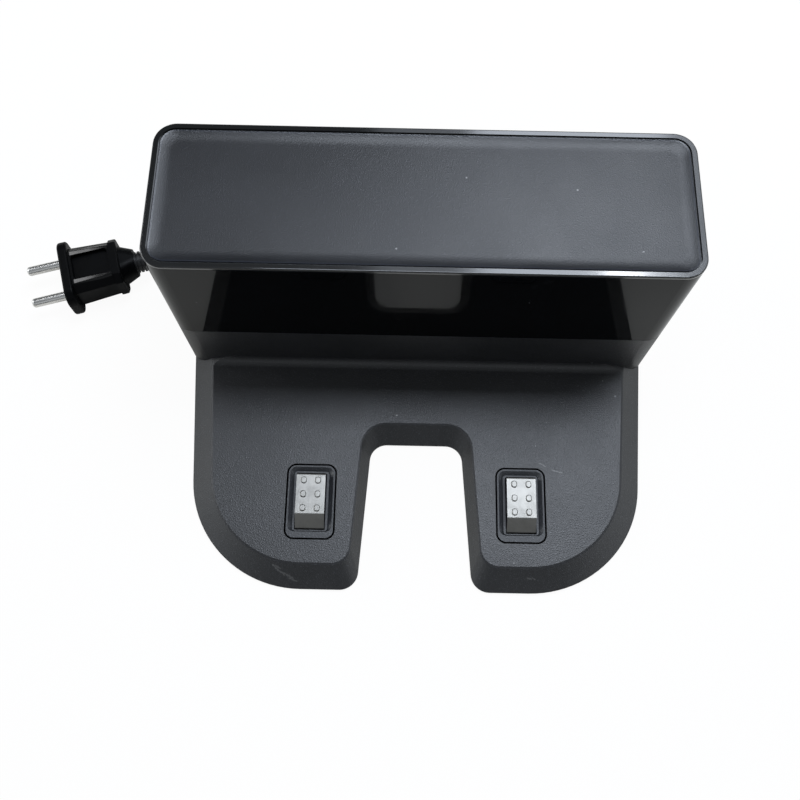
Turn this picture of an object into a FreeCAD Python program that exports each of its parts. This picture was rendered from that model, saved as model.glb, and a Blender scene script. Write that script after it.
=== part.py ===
import FreeCAD, Part
import math
import os
import Sketcher

# Charging dock of a robot vacuum, in millimetres: a tower with a gloss window on a low
# ramped base, two sprung charging contacts, a captive mains lead and its two-pin plug.
# +Z is up and the origin is on the floor, midway between the tower's back and the base's front.

SIZES = {
    # tower
    "tower_overhang": 1.2,
    "tower_depth": 70.0,
    "tower_height": 110.0,
    "tower_corner": 10.0,
    "window_seam": 44.8,
    "front_shell_depth": 50.0,
    "wall": 2.4,
    "window_wall": 2.2,
    "seam_gap": 0.25,
    # lid
    "lid_edge": 1.6,
    "lid_rim": 2.5,
    "lid_round": 0.6,
    "lid_groove_width": 0.7,
    "lid_groove_depth": 0.8,
    "dish_depth": 1.3,
    "dish_slope": 7.0,
    "dish_corner": 5.0,
    "lid_panel": 3.4,
    "lid_skirt_depth": 7.0,
    "lid_skirt_wall": 1.6,
    # base
    "base_reach": 114.5,
    "base_rear_width": 232.6,
    "base_front_width": 214.0,
    "base_corner": 56.0,
    "base_root": 12.0,
    "deck_height": 11.0,
    "rim_lift": 0.8,
    "rim_height": 1.2,
    "rim_wall": 3.4,
    "base_bevel": 10.2,
    "front_bevel": 10.7,
    "brow_drop": 0.35,
    "brow_width": 0.6,
    "skirt_round": 4.5,
    # caster notch
    "notch_depth": 72.8,
    "notch_rear_width": 45.2,
    "notch_front_width": 55.6,
    "notch_corner": 8.5,
    "notch_end_bevel": 8.3,
    "notch_side_bevel": 3.8,
    "lobe_corner": 9.0,
    # bottom plate, feet and screws
    "plate_recess": 0.2,
    "plate_thickness": 2.0,
    "foot_radius": 6.0,
    "foot_sink": 0.8,
    "front_foot_margin": 23.0,
    "front_foot_inset": 32.5,
    "rear_foot_margin": 16.3,
    "rear_foot_inset": 24.0,
    "boss_radius": 3.6,
    "screw_radius": 1.4,
    "screw_play": 0.1,
    "screw_head_radius": 2.7,
    "screw_head_height": 1.2,
    "lobe_screw_x": 70.0,
    "lobe_screw_inset": 26.5,
    "deck_screw_x": 84.0,
    "deck_screw_setback": 18.0,
    "rear_screw_margin": 33.5,
    "rear_boss_height": 24.0,
    # charging contacts
    "contact_spacing": 102.0,
    "contact_inset": 40.9,
    "bezel_width": 23.0,
    "bezel_length": 36.0,
    "bezel_corner": 4.0,
    "bezel_gap": 0.45,
    "bezel_flange": 1.6,
    "bezel_flange_thickness": 1.2,
    "bezel_rim": 0.9,
    "bezel_dish": 1.5,
    "bezel_step": 0.5,
    "lip_width": 1.1,
    "lip_height": 0.8,
    "contact_width": 14.0,
    "contact_length": 27.0,
    "contact_rise": 3.5,
    "contact_sheet": 0.7,
    "contact_play": 0.4,
    "contact_bend": 1.4,
    "ramp_run": 6.4,
    "ramp_drop": 4.8,
    "bump_width": 2.8,
    "bump_length": 3.4,
    "bump_height": 0.6,
    "bump_row_spacing": 6.9,
    "bump_pitch": 6.85,
    "bump_setback": 9.6,
    "carrier_flange": 2.0,
    "carrier_flange_thickness": 1.1,
    "stop_gap": 0.1,
    "spring_radius": 4.0,
    "spring_wire": 0.7,
    "spring_turns": 3.5,
    "spring_play": 0.5,
    "carrier_roof": 1.8,
    "terminal_sheet": 0.5,
    "terminal_tag_width": 5.0,
    "terminal_tag_length": 22.0,
    "lead_radius": 0.9,
    # infrared beacon
    "beacon_height": 76.0,
    "beacon_spacing": 34.0,
    "beacon_bore": 3.6,
    "emitter_radius": 2.5,
    "emitter_flange_radius": 2.9,
    "emitter_length": 8.6,
    "board_thickness": 1.6,
    "beacon_board_width": 112.0,
    "beacon_board_height": 24.0,
    "beacon_post_x": 48.0,
    "post_radius": 3.2,
    "beacon_post_length": 7.0,
    # power supply
    "power_board_width": 128.0,
    "power_board_height": 54.0,
    "power_board_lift": 26.0,
    "power_post_inset": 6.0,
    "power_post_length": 8.0,
    "core_width": 24.0,
    "core_height": 20.0,
    "core_depth": 17.0,
    "core_window": 5.0,
    "capacitor_radius": 6.0,
    "capacitor_length": 20.0,
    "choke_radius": 7.0,
    "choke_bore": 3.0,
    "choke_width": 6.0,
    "plug_block_width": 14.0,
    "plug_block_height": 10.0,
    "plug_block_depth": 9.0,
    # mains lead
    "cord_radius": 2.8,
    "gland_margin": 22.5,
    "gland_height": 13.0,
    "gland_radius": 5.0,
    "gland_flange_radius": 7.0,
    "gland_flange_thickness": 2.0,
    "gland_length": 20.0,
    "gland_tip_radius": 4.0,
    "hank_run": 100.0,
    "hank_fold_radius": 20.0,
    "hank_width": 11.6,
    "hank_height": 11.6,
    "hank_setback": 12.0,
    "hank_clearance": 0.35,
    "cord_lift": 0.2,
    "tie_width": 6.0,
    "tie_thickness": 0.8,
    "tie_play": 0.3,
    # plug
    "plug_gap": 68.3,
    "plug_setback": 27.05,
    "plug_yaw": 16.5,
    "flange_width": 37.6,
    "flange_height": 22.0,
    "flange_thickness": 5.0,
    "flange_corner": 7.5,
    "grip_root_width": 27.5,
    "grip_root_height": 20.5,
    "grip_width": 25.0,
    "grip_height": 19.5,
    "grip_chamfer": 4.0,
    "grip_edge": 0.8,
    "grip_end": 26.0,
    "grip_recess_width": 14.5,
    "grip_recess_depth": 2.2,
    "grip_recess_start": 6.2,
    "grip_recess_end": 25.0,
    "collar_width": 26.5,
    "collar_height": 20.5,
    "collar_thickness": 4.0,
    "collar_round": 1.0,
    "neck_width": 20.0,
    "neck_height": 17.0,
    "neck_corner": 7.0,
    "neck_end_radius": 7.2,
    "neck_length": 7.0,
    "relief_length": 5.0,
    "relief_radius": 5.6,
    "relief_groove": 0.8,
    "pin_radius": 2.4,
    "pin_length": 19.0,
    "pin_spacing": 19.0,
}


class Size:
    """A size with the sheet expression that gives it."""

    def __init__(self, value, text):
        self.value = value
        self.text = text

    def joined(self, sign, other, value):
        return Size(value, "(%s %s %s)" % (self.text, sign, other.text))

    def __add__(self, other):
        other = as_size(other)
        return self.joined("+", other, self.value + other.value)

    def __radd__(self, other):
        return as_size(other) + self

    def __sub__(self, other):
        other = as_size(other)
        return self.joined("-", other, self.value - other.value)

    def __rsub__(self, other):
        return as_size(other) - self

    def __mul__(self, other):
        other = as_size(other)
        return self.joined("*", other, self.value * other.value)

    def __rmul__(self, other):
        return as_size(other) * self

    def __truediv__(self, other):
        other = as_size(other)
        return self.joined("/", other, self.value / other.value)

    def __neg__(self):
        return as_size(0.0) - self

    def root(self):
        return Size(math.sqrt(self.value), "sqrt(%s)" % self.text)


def as_size(thing):
    if isinstance(thing, Size):
        return thing
    return Size(float(thing), "(%r)" % float(thing))


class Names:
    """The sizes of the sheet by name."""


doc = FreeCAD.newDocument("ChargingDock")
sheet = doc.addObject("Spreadsheet::Sheet", "Sizes")
size = Names()
for row, (alias, number) in enumerate(SIZES.items(), start=1):
    sheet.set("A%d" % row, alias)
    sheet.set("B%d" % row, str(number))
    sheet.setAlias("B%d" % row, alias)
    setattr(size, alias, Size(number, "Sizes." + alias))
doc.recompute()

subparts = []


def new_body(name):
    body = doc.addObject("PartDesign::Body", name)
    body.Label = name
    subparts.append(body)
    return body


def new_solid(name, shape):
    feature = doc.addObject("Part::Feature", name)
    feature.Label = name
    feature.Shape = shape
    subparts.append(feature)
    return feature


def new_sketch(body, role, offset):
    """Sketch on one of the body's own origin planes, moved along the plane's normal."""
    sketch = body.newObject("Sketcher::SketchObject", "Sketch")
    plane = [item for item in body.Origin.OriginFeatures if item.Role == role][0]
    sketch.AttachmentSupport = (plane, [""])
    sketch.MapMode = "FlatFace"
    sketch.setExpression("AttachmentOffset.Base.z", as_size(offset).text)
    return sketch


def set_value(sketch, kind, parts, value):
    index = sketch.addConstraint(Sketcher.Constraint(kind, *parts, value.value))
    sketch.setExpression("Constraints[%d]" % index, value.text)


def set_point(sketch, curve, end, x, y):
    for kind, value, axis in (("DistanceX", x, -2), ("DistanceY", y, -1)):
        if abs(value.value) < 1e-9:
            sketch.addConstraint(Sketcher.Constraint("PointOnObject", curve, end, axis))
        else:
            set_value(sketch, kind, (-1, 1, curve, end), value)


def outline(sketch, corners):
    """Closed outline of straight sides; each corner is x, y and a radius, or None if it is sharp."""
    corners = [(as_size(x), as_size(y), radius) for x, y, radius in corners]
    count = len(corners)
    spots = [FreeCAD.Vector(x.value, y.value, 0) for x, y, radius in corners]
    before = list(spots)
    after = list(spots)
    arcs = [None] * count
    for i in range(count):
        radius = corners[i][2]
        if radius is None:
            continue
        back = (spots[i - 1] - spots[i]).normalize()
        ahead = (spots[(i + 1) % count] - spots[i]).normalize()
        half = back.getAngle(ahead) / 2
        reach = radius.value / math.tan(half)
        before[i] = spots[i] + back * reach
        after[i] = spots[i] + ahead * reach
        centre = spots[i] + (back + ahead).normalize() * (radius.value / math.sin(half))
        left_turn = back.cross(ahead).z < 0
        first, last = (before[i], after[i]) if left_turn else (after[i], before[i])
        start = math.atan2(first.y - centre.y, first.x - centre.x)
        stop = math.atan2(last.y - centre.y, last.x - centre.x)
        if stop < start:
            stop += 2 * math.pi
        ring = Part.Circle(centre, FreeCAD.Vector(0, 0, 1), radius.value)
        arcs[i] = (sketch.addGeometry(Part.ArcOfCircle(ring, start, stop)), left_turn)
    lines = []
    for i in range(count):
        side = Part.LineSegment(after[i], before[(i + 1) % count])
        lines.append(sketch.addGeometry(side))
    for i in range(count):
        x, y, radius = corners[i]
        if radius is None:
            sketch.addConstraint(Sketcher.Constraint("Coincident", lines[i - 1], 2, lines[i], 1))
            set_point(sketch, lines[i], 1, x, y)
            continue
        arc, left_turn = arcs[i]
        entry, leave = (1, 2) if left_turn else (2, 1)
        sketch.addConstraint(Sketcher.Constraint("Tangent", lines[i - 1], 2, arc, entry))
        sketch.addConstraint(Sketcher.Constraint("Tangent", arc, leave, lines[i], 1))
        set_value(sketch, "Radius", (arc,), radius)
        corner = sketch.addGeometry(Part.Point(spots[i]), True)
        sketch.addConstraint(Sketcher.Constraint("PointOnObject", corner, 1, lines[i - 1]))
        sketch.addConstraint(Sketcher.Constraint("PointOnObject", corner, 1, lines[i]))
        set_point(sketch, corner, 1, x, y)


def rectangle(sketch, left, low, right, high, radius=None):
    outline(sketch, [(left, low, radius), (right, low, radius), (right, high, radius), (left, high, radius)])


def circle(sketch, x, y, radius):
    x = as_size(x)
    y = as_size(y)
    centre = FreeCAD.Vector(x.value, y.value, 0)
    ring = sketch.addGeometry(Part.Circle(centre, FreeCAD.Vector(0, 0, 1), radius.value))
    set_value(sketch, "Radius", (ring,), radius)
    set_point(sketch, ring, 3, x, y)


def extrude(body, kind, sketch, length, back=False):
    """Pad or Pocket along the sketch's normal, or against it."""
    feature = body.newObject("PartDesign::" + kind, kind)
    feature.Profile = (sketch, [""])
    feature.setExpression("Length", as_size(length).text)
    feature.Reversed = back if kind == "Pad" else not back
    doc.recompute()
    return feature


def loft(body, kind, sketches, ruled=True):
    feature = body.newObject("PartDesign::" + kind, kind)
    feature.Profile = (sketches[0], [""])
    feature.Sections = [(item, [""]) for item in sketches[1:]]
    feature.Ruled = ruled
    doc.recompute()
    return feature


def dress(body, kind, value, wanted):
    """Fillet or Chamfer on the edges of the body's last feature that are wanted."""
    base = body.Tip
    names = ["Edge%d" % (i + 1) for i, edge in enumerate(base.Shape.Edges) if wanted(edge)]
    feature = body.newObject("PartDesign::" + kind, kind)
    feature.Base = (base, names)
    feature.setExpression("Radius" if kind == "Fillet" else "Size", value.text)
    doc.recompute()
    return feature


def near(first, second):
    return abs(first - second.value) < 1e-4


def box_of(edge):
    return edge.BoundBox


# Places that several pieces share.
half_width = size.base_rear_width / 2 + size.tower_overhang
front_y = (size.base_reach - size.tower_depth) / 2
back_y = front_y + size.tower_depth
lip_y = front_y - size.base_reach
shell_y = front_y + size.front_shell_depth
lid_under = size.tower_height - size.lid_edge
neck_inset = size.window_wall + size.seam_gap
neck_inner = neck_inset + size.wall
deck_under = size.deck_height - size.wall
rim_top = size.rim_lift + size.rim_height
plate_low = size.rim_lift + size.plate_recess
plate_top = plate_low + size.plate_thickness
rise_height = size.deck_height - rim_top
contact_y = lip_y + size.contact_inset
lobe_screw_y = lip_y + size.lobe_screw_inset
deck_screw_y = front_y - size.deck_screw_setback
rear_screw_y = back_y - size.wall - size.boss_radius
screw_spots = []
for sign in (-1, 1):
    screw_spots.append((sign * size.lobe_screw_x, lobe_screw_y))
    screw_spots.append((sign * size.deck_screw_x, deck_screw_y))
rear_screw_x = half_width - size.rear_screw_margin
rear_spots = [(sign * rear_screw_x, rear_screw_y) for sign in (-1, 1)]
gland_x = half_width - size.gland_margin
plug_x = -half_width - size.plug_gap
plug_y = back_y - size.plug_setback


def base_corners(rise, inset):
    """Outline of the ramped base at a share of the bevel's rise, drawn in by an inset."""
    side = size.base_bevel * rise + inset
    slot = size.notch_side_bevel * rise + inset
    rear = size.base_rear_width / 2 - side
    front = size.base_front_width / 2 - side
    lip = lip_y + size.front_bevel * rise + inset
    slot_rear = size.notch_rear_width / 2 + slot
    slot_front = size.notch_front_width / 2 + slot
    slot_end = lip_y + size.notch_depth + size.notch_end_bevel * rise + inset
    root = front_y + size.base_root
    outer = size.base_corner - side
    lobe = size.lobe_corner - inset
    inner = size.notch_corner + slot
    return [
        (rear, root, None),
        (-rear, root, None),
        (-front, lip, outer),
        (-slot_front, lip, lobe),
        (-slot_rear, slot_end, inner),
        (slot_rear, slot_end, inner),
        (slot_front, lip, lobe),
        (front, lip, outer),
    ]


def front_shell_corners(inset, rear):
    """Plan of the tower's front part, drawn in by an inset and cut off square at the rear."""
    radius = size.tower_corner - inset
    side = half_width - inset
    near_y = front_y + inset
    return [(side, rear, None), (-side, rear, None), (-side, near_y, radius), (side, near_y, radius)]


def rear_shell_corners(inset, front):
    radius = size.tower_corner - inset
    side = half_width - inset
    far_y = back_y - inset
    return [(-side, front, None), (side, front, None), (side, far_y, radius), (-side, far_y, radius)]


# Main housing: base, deck and the tower's front shell in one moulding.
housing = new_body("main_housing")
rim = new_sketch(housing, "XY_Plane", size.rim_lift)
outline(rim, base_corners(as_size(0), as_size(0)))
extrude(housing, "Pad", rim, size.rim_height)
ramp_foot = new_sketch(housing, "XY_Plane", rim_top)
outline(ramp_foot, base_corners(as_size(0), as_size(0)))
brow_z = size.deck_height - size.brow_drop
ramp_head = new_sketch(housing, "XY_Plane", brow_z)
outline(ramp_head, base_corners((brow_z - rim_top) / rise_height, as_size(0)))
ramp_brow = new_sketch(housing, "XY_Plane", size.deck_height)
outline(ramp_brow, base_corners(as_size(1), size.brow_width))
loft(housing, "AdditiveLoft", [ramp_foot, ramp_head, ramp_brow])
tower = new_sketch(housing, "XY_Plane", size.rim_lift)
outline(tower, front_shell_corners(as_size(0), shell_y))
extrude(housing, "Pad", tower, lid_under - size.rim_lift)
dress(housing, "Fillet", size.skirt_round, lambda edge: near(box_of(edge).ZMin, size.deck_height)
      and near(box_of(edge).ZMax, size.deck_height) and near(box_of(edge).YMin, front_y))
# The window sits in a band that is set back round the front and both sides.
band = new_sketch(housing, "XY_Plane", size.window_seam)
over = half_width + size.wall
outer_y = front_y - size.wall
neck_side = half_width - neck_inset
neck_radius = size.tower_corner - neck_inset
outline(band, [
    (-over, shell_y, None),
    (-over, outer_y, None),
    (over, outer_y, None),
    (over, shell_y, None),
    (neck_side, shell_y, None),
    (neck_side, front_y + neck_inset, neck_radius),
    (-neck_side, front_y + neck_inset, neck_radius),
    (-neck_side, shell_y, None),
])
extrude(housing, "Pocket", band, lid_under - size.window_seam)
# Hollow underside: the seat of the bottom plate, the space under the deck and the tower's inside.
seat = new_sketch(housing, "XY_Plane", size.rim_lift)
outline(seat, base_corners(as_size(0), size.rim_wall))
extrude(housing, "Pocket", seat, plate_top - size.rim_lift)
space_foot = new_sketch(housing, "XY_Plane", plate_top)
outline(space_foot, base_corners((plate_top - rim_top) / rise_height, size.rim_wall))
space_head = new_sketch(housing, "XY_Plane", deck_under)
outline(space_head, base_corners((deck_under - rim_top) / rise_height, size.rim_wall))
loft(housing, "SubtractiveLoft", [space_foot, space_head])
lower_room = new_sketch(housing, "XY_Plane", size.rim_lift)
outline(lower_room, front_shell_corners(size.wall, shell_y + size.wall))
extrude(housing, "Pocket", lower_room, size.window_seam - size.wall - size.rim_lift)
upper_room = new_sketch(housing, "XY_Plane", size.rim_lift)
outline(upper_room, front_shell_corners(neck_inner, shell_y + size.wall))
extrude(housing, "Pocket", upper_room, lid_under - size.rim_lift)
# Screw bosses hang from the deck down to the bottom plate.
bosses = new_sketch(housing, "XY_Plane", plate_top)
for x, y in screw_spots:
    circle(bosses, x, y, size.boss_radius)
extrude(housing, "Pad", bosses, deck_under - plate_top + size.wall / 2)
pilots = new_sketch(housing, "XY_Plane", plate_top)
for x, y in screw_spots:
    circle(pilots, x, y, size.screw_radius + size.screw_play)
extrude(housing, "Pocket", pilots, deck_under - plate_top)
# Openings for the contact bezels and for the beacon's emitters.
bezel_holes = new_sketch(housing, "XY_Plane", deck_under)
for sign in (-1, 1):
    hole_x = size.bezel_width / 2 + size.bezel_gap
    hole_y = size.bezel_length / 2 + size.bezel_gap
    middle = sign * size.contact_spacing / 2
    rectangle(bezel_holes, middle - hole_x, contact_y - hole_y, middle + hole_x, contact_y + hole_y,
              size.bezel_corner + size.bezel_gap)
extrude(housing, "Pocket", bezel_holes, size.wall)
beacon_face = front_y + neck_inner
beacon_posts = new_sketch(housing, "XZ_Plane", -beacon_face)
for sign in (-1, 1):
    circle(beacon_posts, sign * size.beacon_post_x, size.beacon_height, size.post_radius)
extrude(housing, "Pad", beacon_posts, size.beacon_post_length, back=True)
beacon_holes = new_sketch(housing, "XZ_Plane", -beacon_face)
for place in (-1, 0, 1):
    circle(beacon_holes, place * size.beacon_spacing, size.beacon_height, size.beacon_bore)
extrude(housing, "Pocket", beacon_holes, size.wall)
beacon_pilots = new_sketch(housing, "XZ_Plane", -(beacon_face + size.beacon_post_length))
for sign in (-1, 1):
    circle(beacon_pilots, sign * size.beacon_post_x, size.beacon_height, size.screw_radius + size.screw_play)
extrude(housing, "Pocket", beacon_pilots, size.beacon_post_length)

# Front window: one gloss moulding bent round both front corners.
window = new_body("front_window")
window_plan = new_sketch(window, "XY_Plane", size.window_seam + size.seam_gap)
pane_inner = half_width - size.window_wall
pane_rear = shell_y - size.seam_gap
outline(window_plan, [
    (-half_width, pane_rear, None),
    (-half_width, front_y, size.tower_corner),
    (half_width, front_y, size.tower_corner),
    (half_width, pane_rear, None),
    (pane_inner, pane_rear, None),
    (pane_inner, front_y + size.window_wall, size.tower_corner - size.window_wall),
    (-pane_inner, front_y + size.window_wall, size.tower_corner - size.window_wall),
    (-pane_inner, pane_rear, None),
])
extrude(window, "Pad", window_plan, lid_under - size.window_seam - 2 * size.seam_gap)

# Rear cover: the tower's back with both rear corners, from the floor rim up to the lid.
rear = new_body("rear_cover")
rear_plan = new_sketch(rear, "XY_Plane", size.rim_lift)
cover_front = shell_y + size.seam_gap
outline(rear_plan, rear_shell_corners(as_size(0), cover_front))
extrude(rear, "Pad", rear_plan, lid_under - size.rim_lift)
rear_room = new_sketch(rear, "XY_Plane", size.rim_lift)
outline(rear_room, rear_shell_corners(size.wall, cover_front - size.wall))
extrude(rear, "Pocket", rear_room, lid_under - size.rim_lift)
tongue_outer = half_width - neck_inner - size.seam_gap
tongue_inner = tongue_outer - size.lid_skirt_wall
tongue_front = shell_y - 2 * size.wall
tongue_back = cover_front + 2 * size.wall
tongues = new_sketch(rear, "XY_Plane", size.deck_height)
for sign in (-1, 1):
    outline(tongues, [
        (sign * tongue_inner, tongue_front, None),
        (sign * tongue_outer, tongue_front, None),
        (sign * tongue_outer, cover_front, None),
        (sign * (half_width - size.wall / 2), cover_front, None),
        (sign * (half_width - size.wall / 2), tongue_back, None),
        (sign * tongue_inner, tongue_back, None),
    ])
extrude(rear, "Pad", tongues, lid_under - size.lid_skirt_depth - size.wall - size.deck_height)
rear_bosses = new_sketch(rear, "XY_Plane", plate_top)
for x, y in rear_spots:
    rectangle(rear_bosses, x - size.boss_radius, y - size.boss_radius, x + size.boss_radius,
              back_y - size.wall / 2)
extrude(rear, "Pad", rear_bosses, size.rear_boss_height)
rear_pilots = new_sketch(rear, "XY_Plane", plate_top)
for x, y in rear_spots:
    circle(rear_pilots, x, y, size.screw_radius + size.screw_play)
extrude(rear, "Pocket", rear_pilots, deck_under - plate_top)
power_x = size.power_board_width / 2 - size.power_post_inset
power_low = size.power_board_lift + size.power_post_inset
power_high = size.power_board_lift + size.power_board_height - size.power_post_inset
power_face = back_y - size.wall - size.power_post_length
post_spots = []
for sign in (-1, 1):
    post_spots.append((sign * power_x, power_low))
    post_spots.append((sign * power_x, power_high))
power_posts = new_sketch(rear, "XZ_Plane", -power_face)
for x, z in post_spots:
    circle(power_posts, x, z, size.post_radius)
extrude(rear, "Pad", power_posts, size.power_post_length + size.wall / 2, back=True)
power_pilots = new_sketch(rear, "XZ_Plane", -power_face)
for x, z in post_spots:
    circle(power_pilots, x, z, size.screw_radius + size.screw_play)
extrude(rear, "Pocket", power_pilots, size.power_post_length, back=True)
gland_hole = new_sketch(rear, "XZ_Plane", -back_y)
circle(gland_hole, gland_x, size.gland_height, size.gland_radius + size.screw_play)
extrude(rear, "Pocket", gland_hole, size.wall)

# Lid: a rim, a fine groove and a shallow dish with a soft edge; a skirt locates it in the tower.
lid = new_body("top_cover")


def lid_corners(inset, radius):
    side = half_width - inset
    low = front_y + inset
    high = back_y - inset
    return [(side, high, radius), (-side, high, radius), (-side, low, radius), (side, low, radius)]


lid_plan = new_sketch(lid, "XY_Plane", lid_under)
outline(lid_plan, lid_corners(as_size(0), size.tower_corner))
extrude(lid, "Pad", lid_plan, size.lid_edge)
skirt_side = half_width - neck_inner - size.seam_gap
skirt_low = front_y + neck_inner + size.seam_gap
skirt_high = back_y - size.wall - size.seam_gap
skirt_radius = size.tower_corner - neck_inner
panel_plan = new_sketch(lid, "XY_Plane", size.tower_height - size.lid_panel)
rectangle(panel_plan, -skirt_side, skirt_low, skirt_side, skirt_high, skirt_radius)
extrude(lid, "Pad", panel_plan, size.lid_panel - size.lid_edge)
skirt_plan = new_sketch(lid, "XY_Plane", lid_under - size.lid_skirt_depth)
rectangle(skirt_plan, -skirt_side, skirt_low, skirt_side, skirt_high, skirt_radius)
rectangle(skirt_plan, size.lid_skirt_wall - skirt_side, skirt_low + size.lid_skirt_wall,
          skirt_side - size.lid_skirt_wall, skirt_high - size.lid_skirt_wall,
          skirt_radius - size.lid_skirt_wall)
extrude(lid, "Pad", skirt_plan, size.lid_skirt_depth - size.lid_panel + size.lid_edge)
dish_levels = [
    (size.lid_rim, size.tower_height, size.tower_corner - size.lid_rim),
    (size.lid_rim + size.dish_slope * 0.4, size.tower_height - size.dish_depth * 0.7,
     size.tower_corner - size.lid_rim - size.dish_slope * 0.2),
    (size.lid_rim + size.dish_slope, size.tower_height - size.dish_depth, size.dish_corner),
]
dish_sketches = []
for inset, level, radius in dish_levels:
    level_sketch = new_sketch(lid, "XY_Plane", level)
    outline(level_sketch, lid_corners(inset, radius))
    dish_sketches.append(level_sketch)
loft(lid, "SubtractiveLoft", dish_sketches, ruled=False)
groove = new_sketch(lid, "XY_Plane", size.tower_height)
groove_inset = size.lid_rim + size.lid_groove_width
outline(groove, lid_corners(size.lid_rim, size.tower_corner - size.lid_rim))
outline(groove, lid_corners(groove_inset, size.tower_corner - groove_inset))
extrude(lid, "Pocket", groove, size.lid_groove_depth, back=True)
dress(lid, "Fillet", size.lid_round, lambda edge: near(box_of(edge).ZMin, size.tower_height)
      and (near(box_of(edge).YMin, front_y) or near(box_of(edge).YMax, back_y)
           or near(box_of(edge).XMin, -half_width) or near(box_of(edge).XMax, half_width)))

# Bottom plate, with seats for the feet and countersunk screw holes.
plate = new_body("bottom_plate")
plate_plan = new_sketch(plate, "XY_Plane", plate_low)
outline(plate_plan, base_corners(as_size(0), size.rim_wall + size.seam_gap))
extrude(plate, "Pad", plate_plan, size.plate_thickness)
plate_inset = size.wall + size.seam_gap
tower_plate = new_sketch(plate, "XY_Plane", plate_low)
rectangle(tower_plate, plate_inset - half_width, front_y + plate_inset, half_width - plate_inset,
          back_y - plate_inset, size.tower_corner - plate_inset)
extrude(plate, "Pad", tower_plate, size.plate_thickness)
front_foot_x = size.base_front_width / 2 - size.front_foot_margin
rear_foot_x = size.base_rear_width / 2 - size.rear_foot_margin
foot_spots = []
for sign in (-1, 1):
    foot_spots.append((sign * front_foot_x, lip_y + size.front_foot_inset))
    foot_spots.append((sign * rear_foot_x, back_y - size.rear_foot_inset))
    foot_spots.append((sign * rear_foot_x, front_y - size.rear_foot_inset))
foot_seats = new_sketch(plate, "XY_Plane", plate_low)
for x, y in foot_spots:
    circle(foot_seats, x, y, size.foot_radius + size.screw_play)
extrude(plate, "Pocket", foot_seats, size.foot_sink)
head_seats = new_sketch(plate, "XY_Plane", plate_low)
for x, y in screw_spots + rear_spots:
    circle(head_seats, x, y, size.screw_head_radius + size.screw_play)
extrude(plate, "Pocket", head_seats, size.screw_head_height)
screw_holes = new_sketch(plate, "XY_Plane", plate_low)
for x, y in screw_spots + rear_spots:
    circle(screw_holes, x, y, size.screw_radius + size.screw_play)
extrude(plate, "Pocket", screw_holes, size.plate_thickness)


def up(x, y, z):
    return FreeCAD.Vector(x.value, y.value, as_size(z).value)


def cylinder(radius, height, spot, axis=(0, 0, 1)):
    return Part.makeCylinder(as_size(radius).value, as_size(height).value, spot, FreeCAD.Vector(*axis))


feet = []
for x, y in foot_spots:
    pad = cylinder(size.foot_radius, plate_low + size.foot_sink, up(x, y, 0))
    lower = [edge for edge in pad.Edges if edge.BoundBox.ZMax < 1e-6]
    feet.append(pad.makeFillet(plate_low.value * 0.6, lower))
new_solid("rubber_feet", Part.makeCompound(feet))


def screw(spot, axis, length):
    """Pan head with its shank; the spot is the middle of the head's outer face."""
    along = FreeCAD.Vector(*axis)
    head = cylinder(size.screw_head_radius, size.screw_head_height, spot, axis)
    seat = spot + along * size.screw_head_height.value
    drive = cylinder(size.screw_radius * 0.8, size.screw_head_height / 2, spot, axis)
    return head.cut(drive).fuse(cylinder(size.screw_radius, length, seat, axis))


base_screw_length = size.plate_thickness - size.screw_head_height + (deck_under - plate_top) * 0.8
base_screws = [screw(up(x, y, plate_low), (0, 0, 1), base_screw_length) for x, y in screw_spots + rear_spots]
new_solid("base_screws", Part.makeCompound(base_screws))

# Charging contacts: a dished bezel in the deck, and a folded plate on a sprung carrier.
contact_top = size.deck_height + size.contact_rise
flange_low = deck_under - size.bezel_flange_thickness
carrier_top = flange_low - size.stop_gap
carrier_low = carrier_top - size.carrier_flange_thickness
sheet_under = contact_top - size.contact_sheet
pocket_top = sheet_under - size.carrier_roof
terminal_top = plate_top + size.terminal_sheet
half_length = size.contact_length / 2
fold_y = size.ramp_run - half_length
ramp_length = (size.ramp_run * size.ramp_run + size.ramp_drop * size.ramp_drop).root()
inner_fold = fold_y + size.contact_sheet * (ramp_length - size.ramp_run) / size.ramp_drop
inner_foot = size.contact_sheet - half_length
inner_rise = size.contact_sheet * (ramp_length - size.ramp_drop) / size.ramp_run
foot_z = contact_top - size.ramp_drop
inner_foot_z = foot_z - inner_rise


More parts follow.
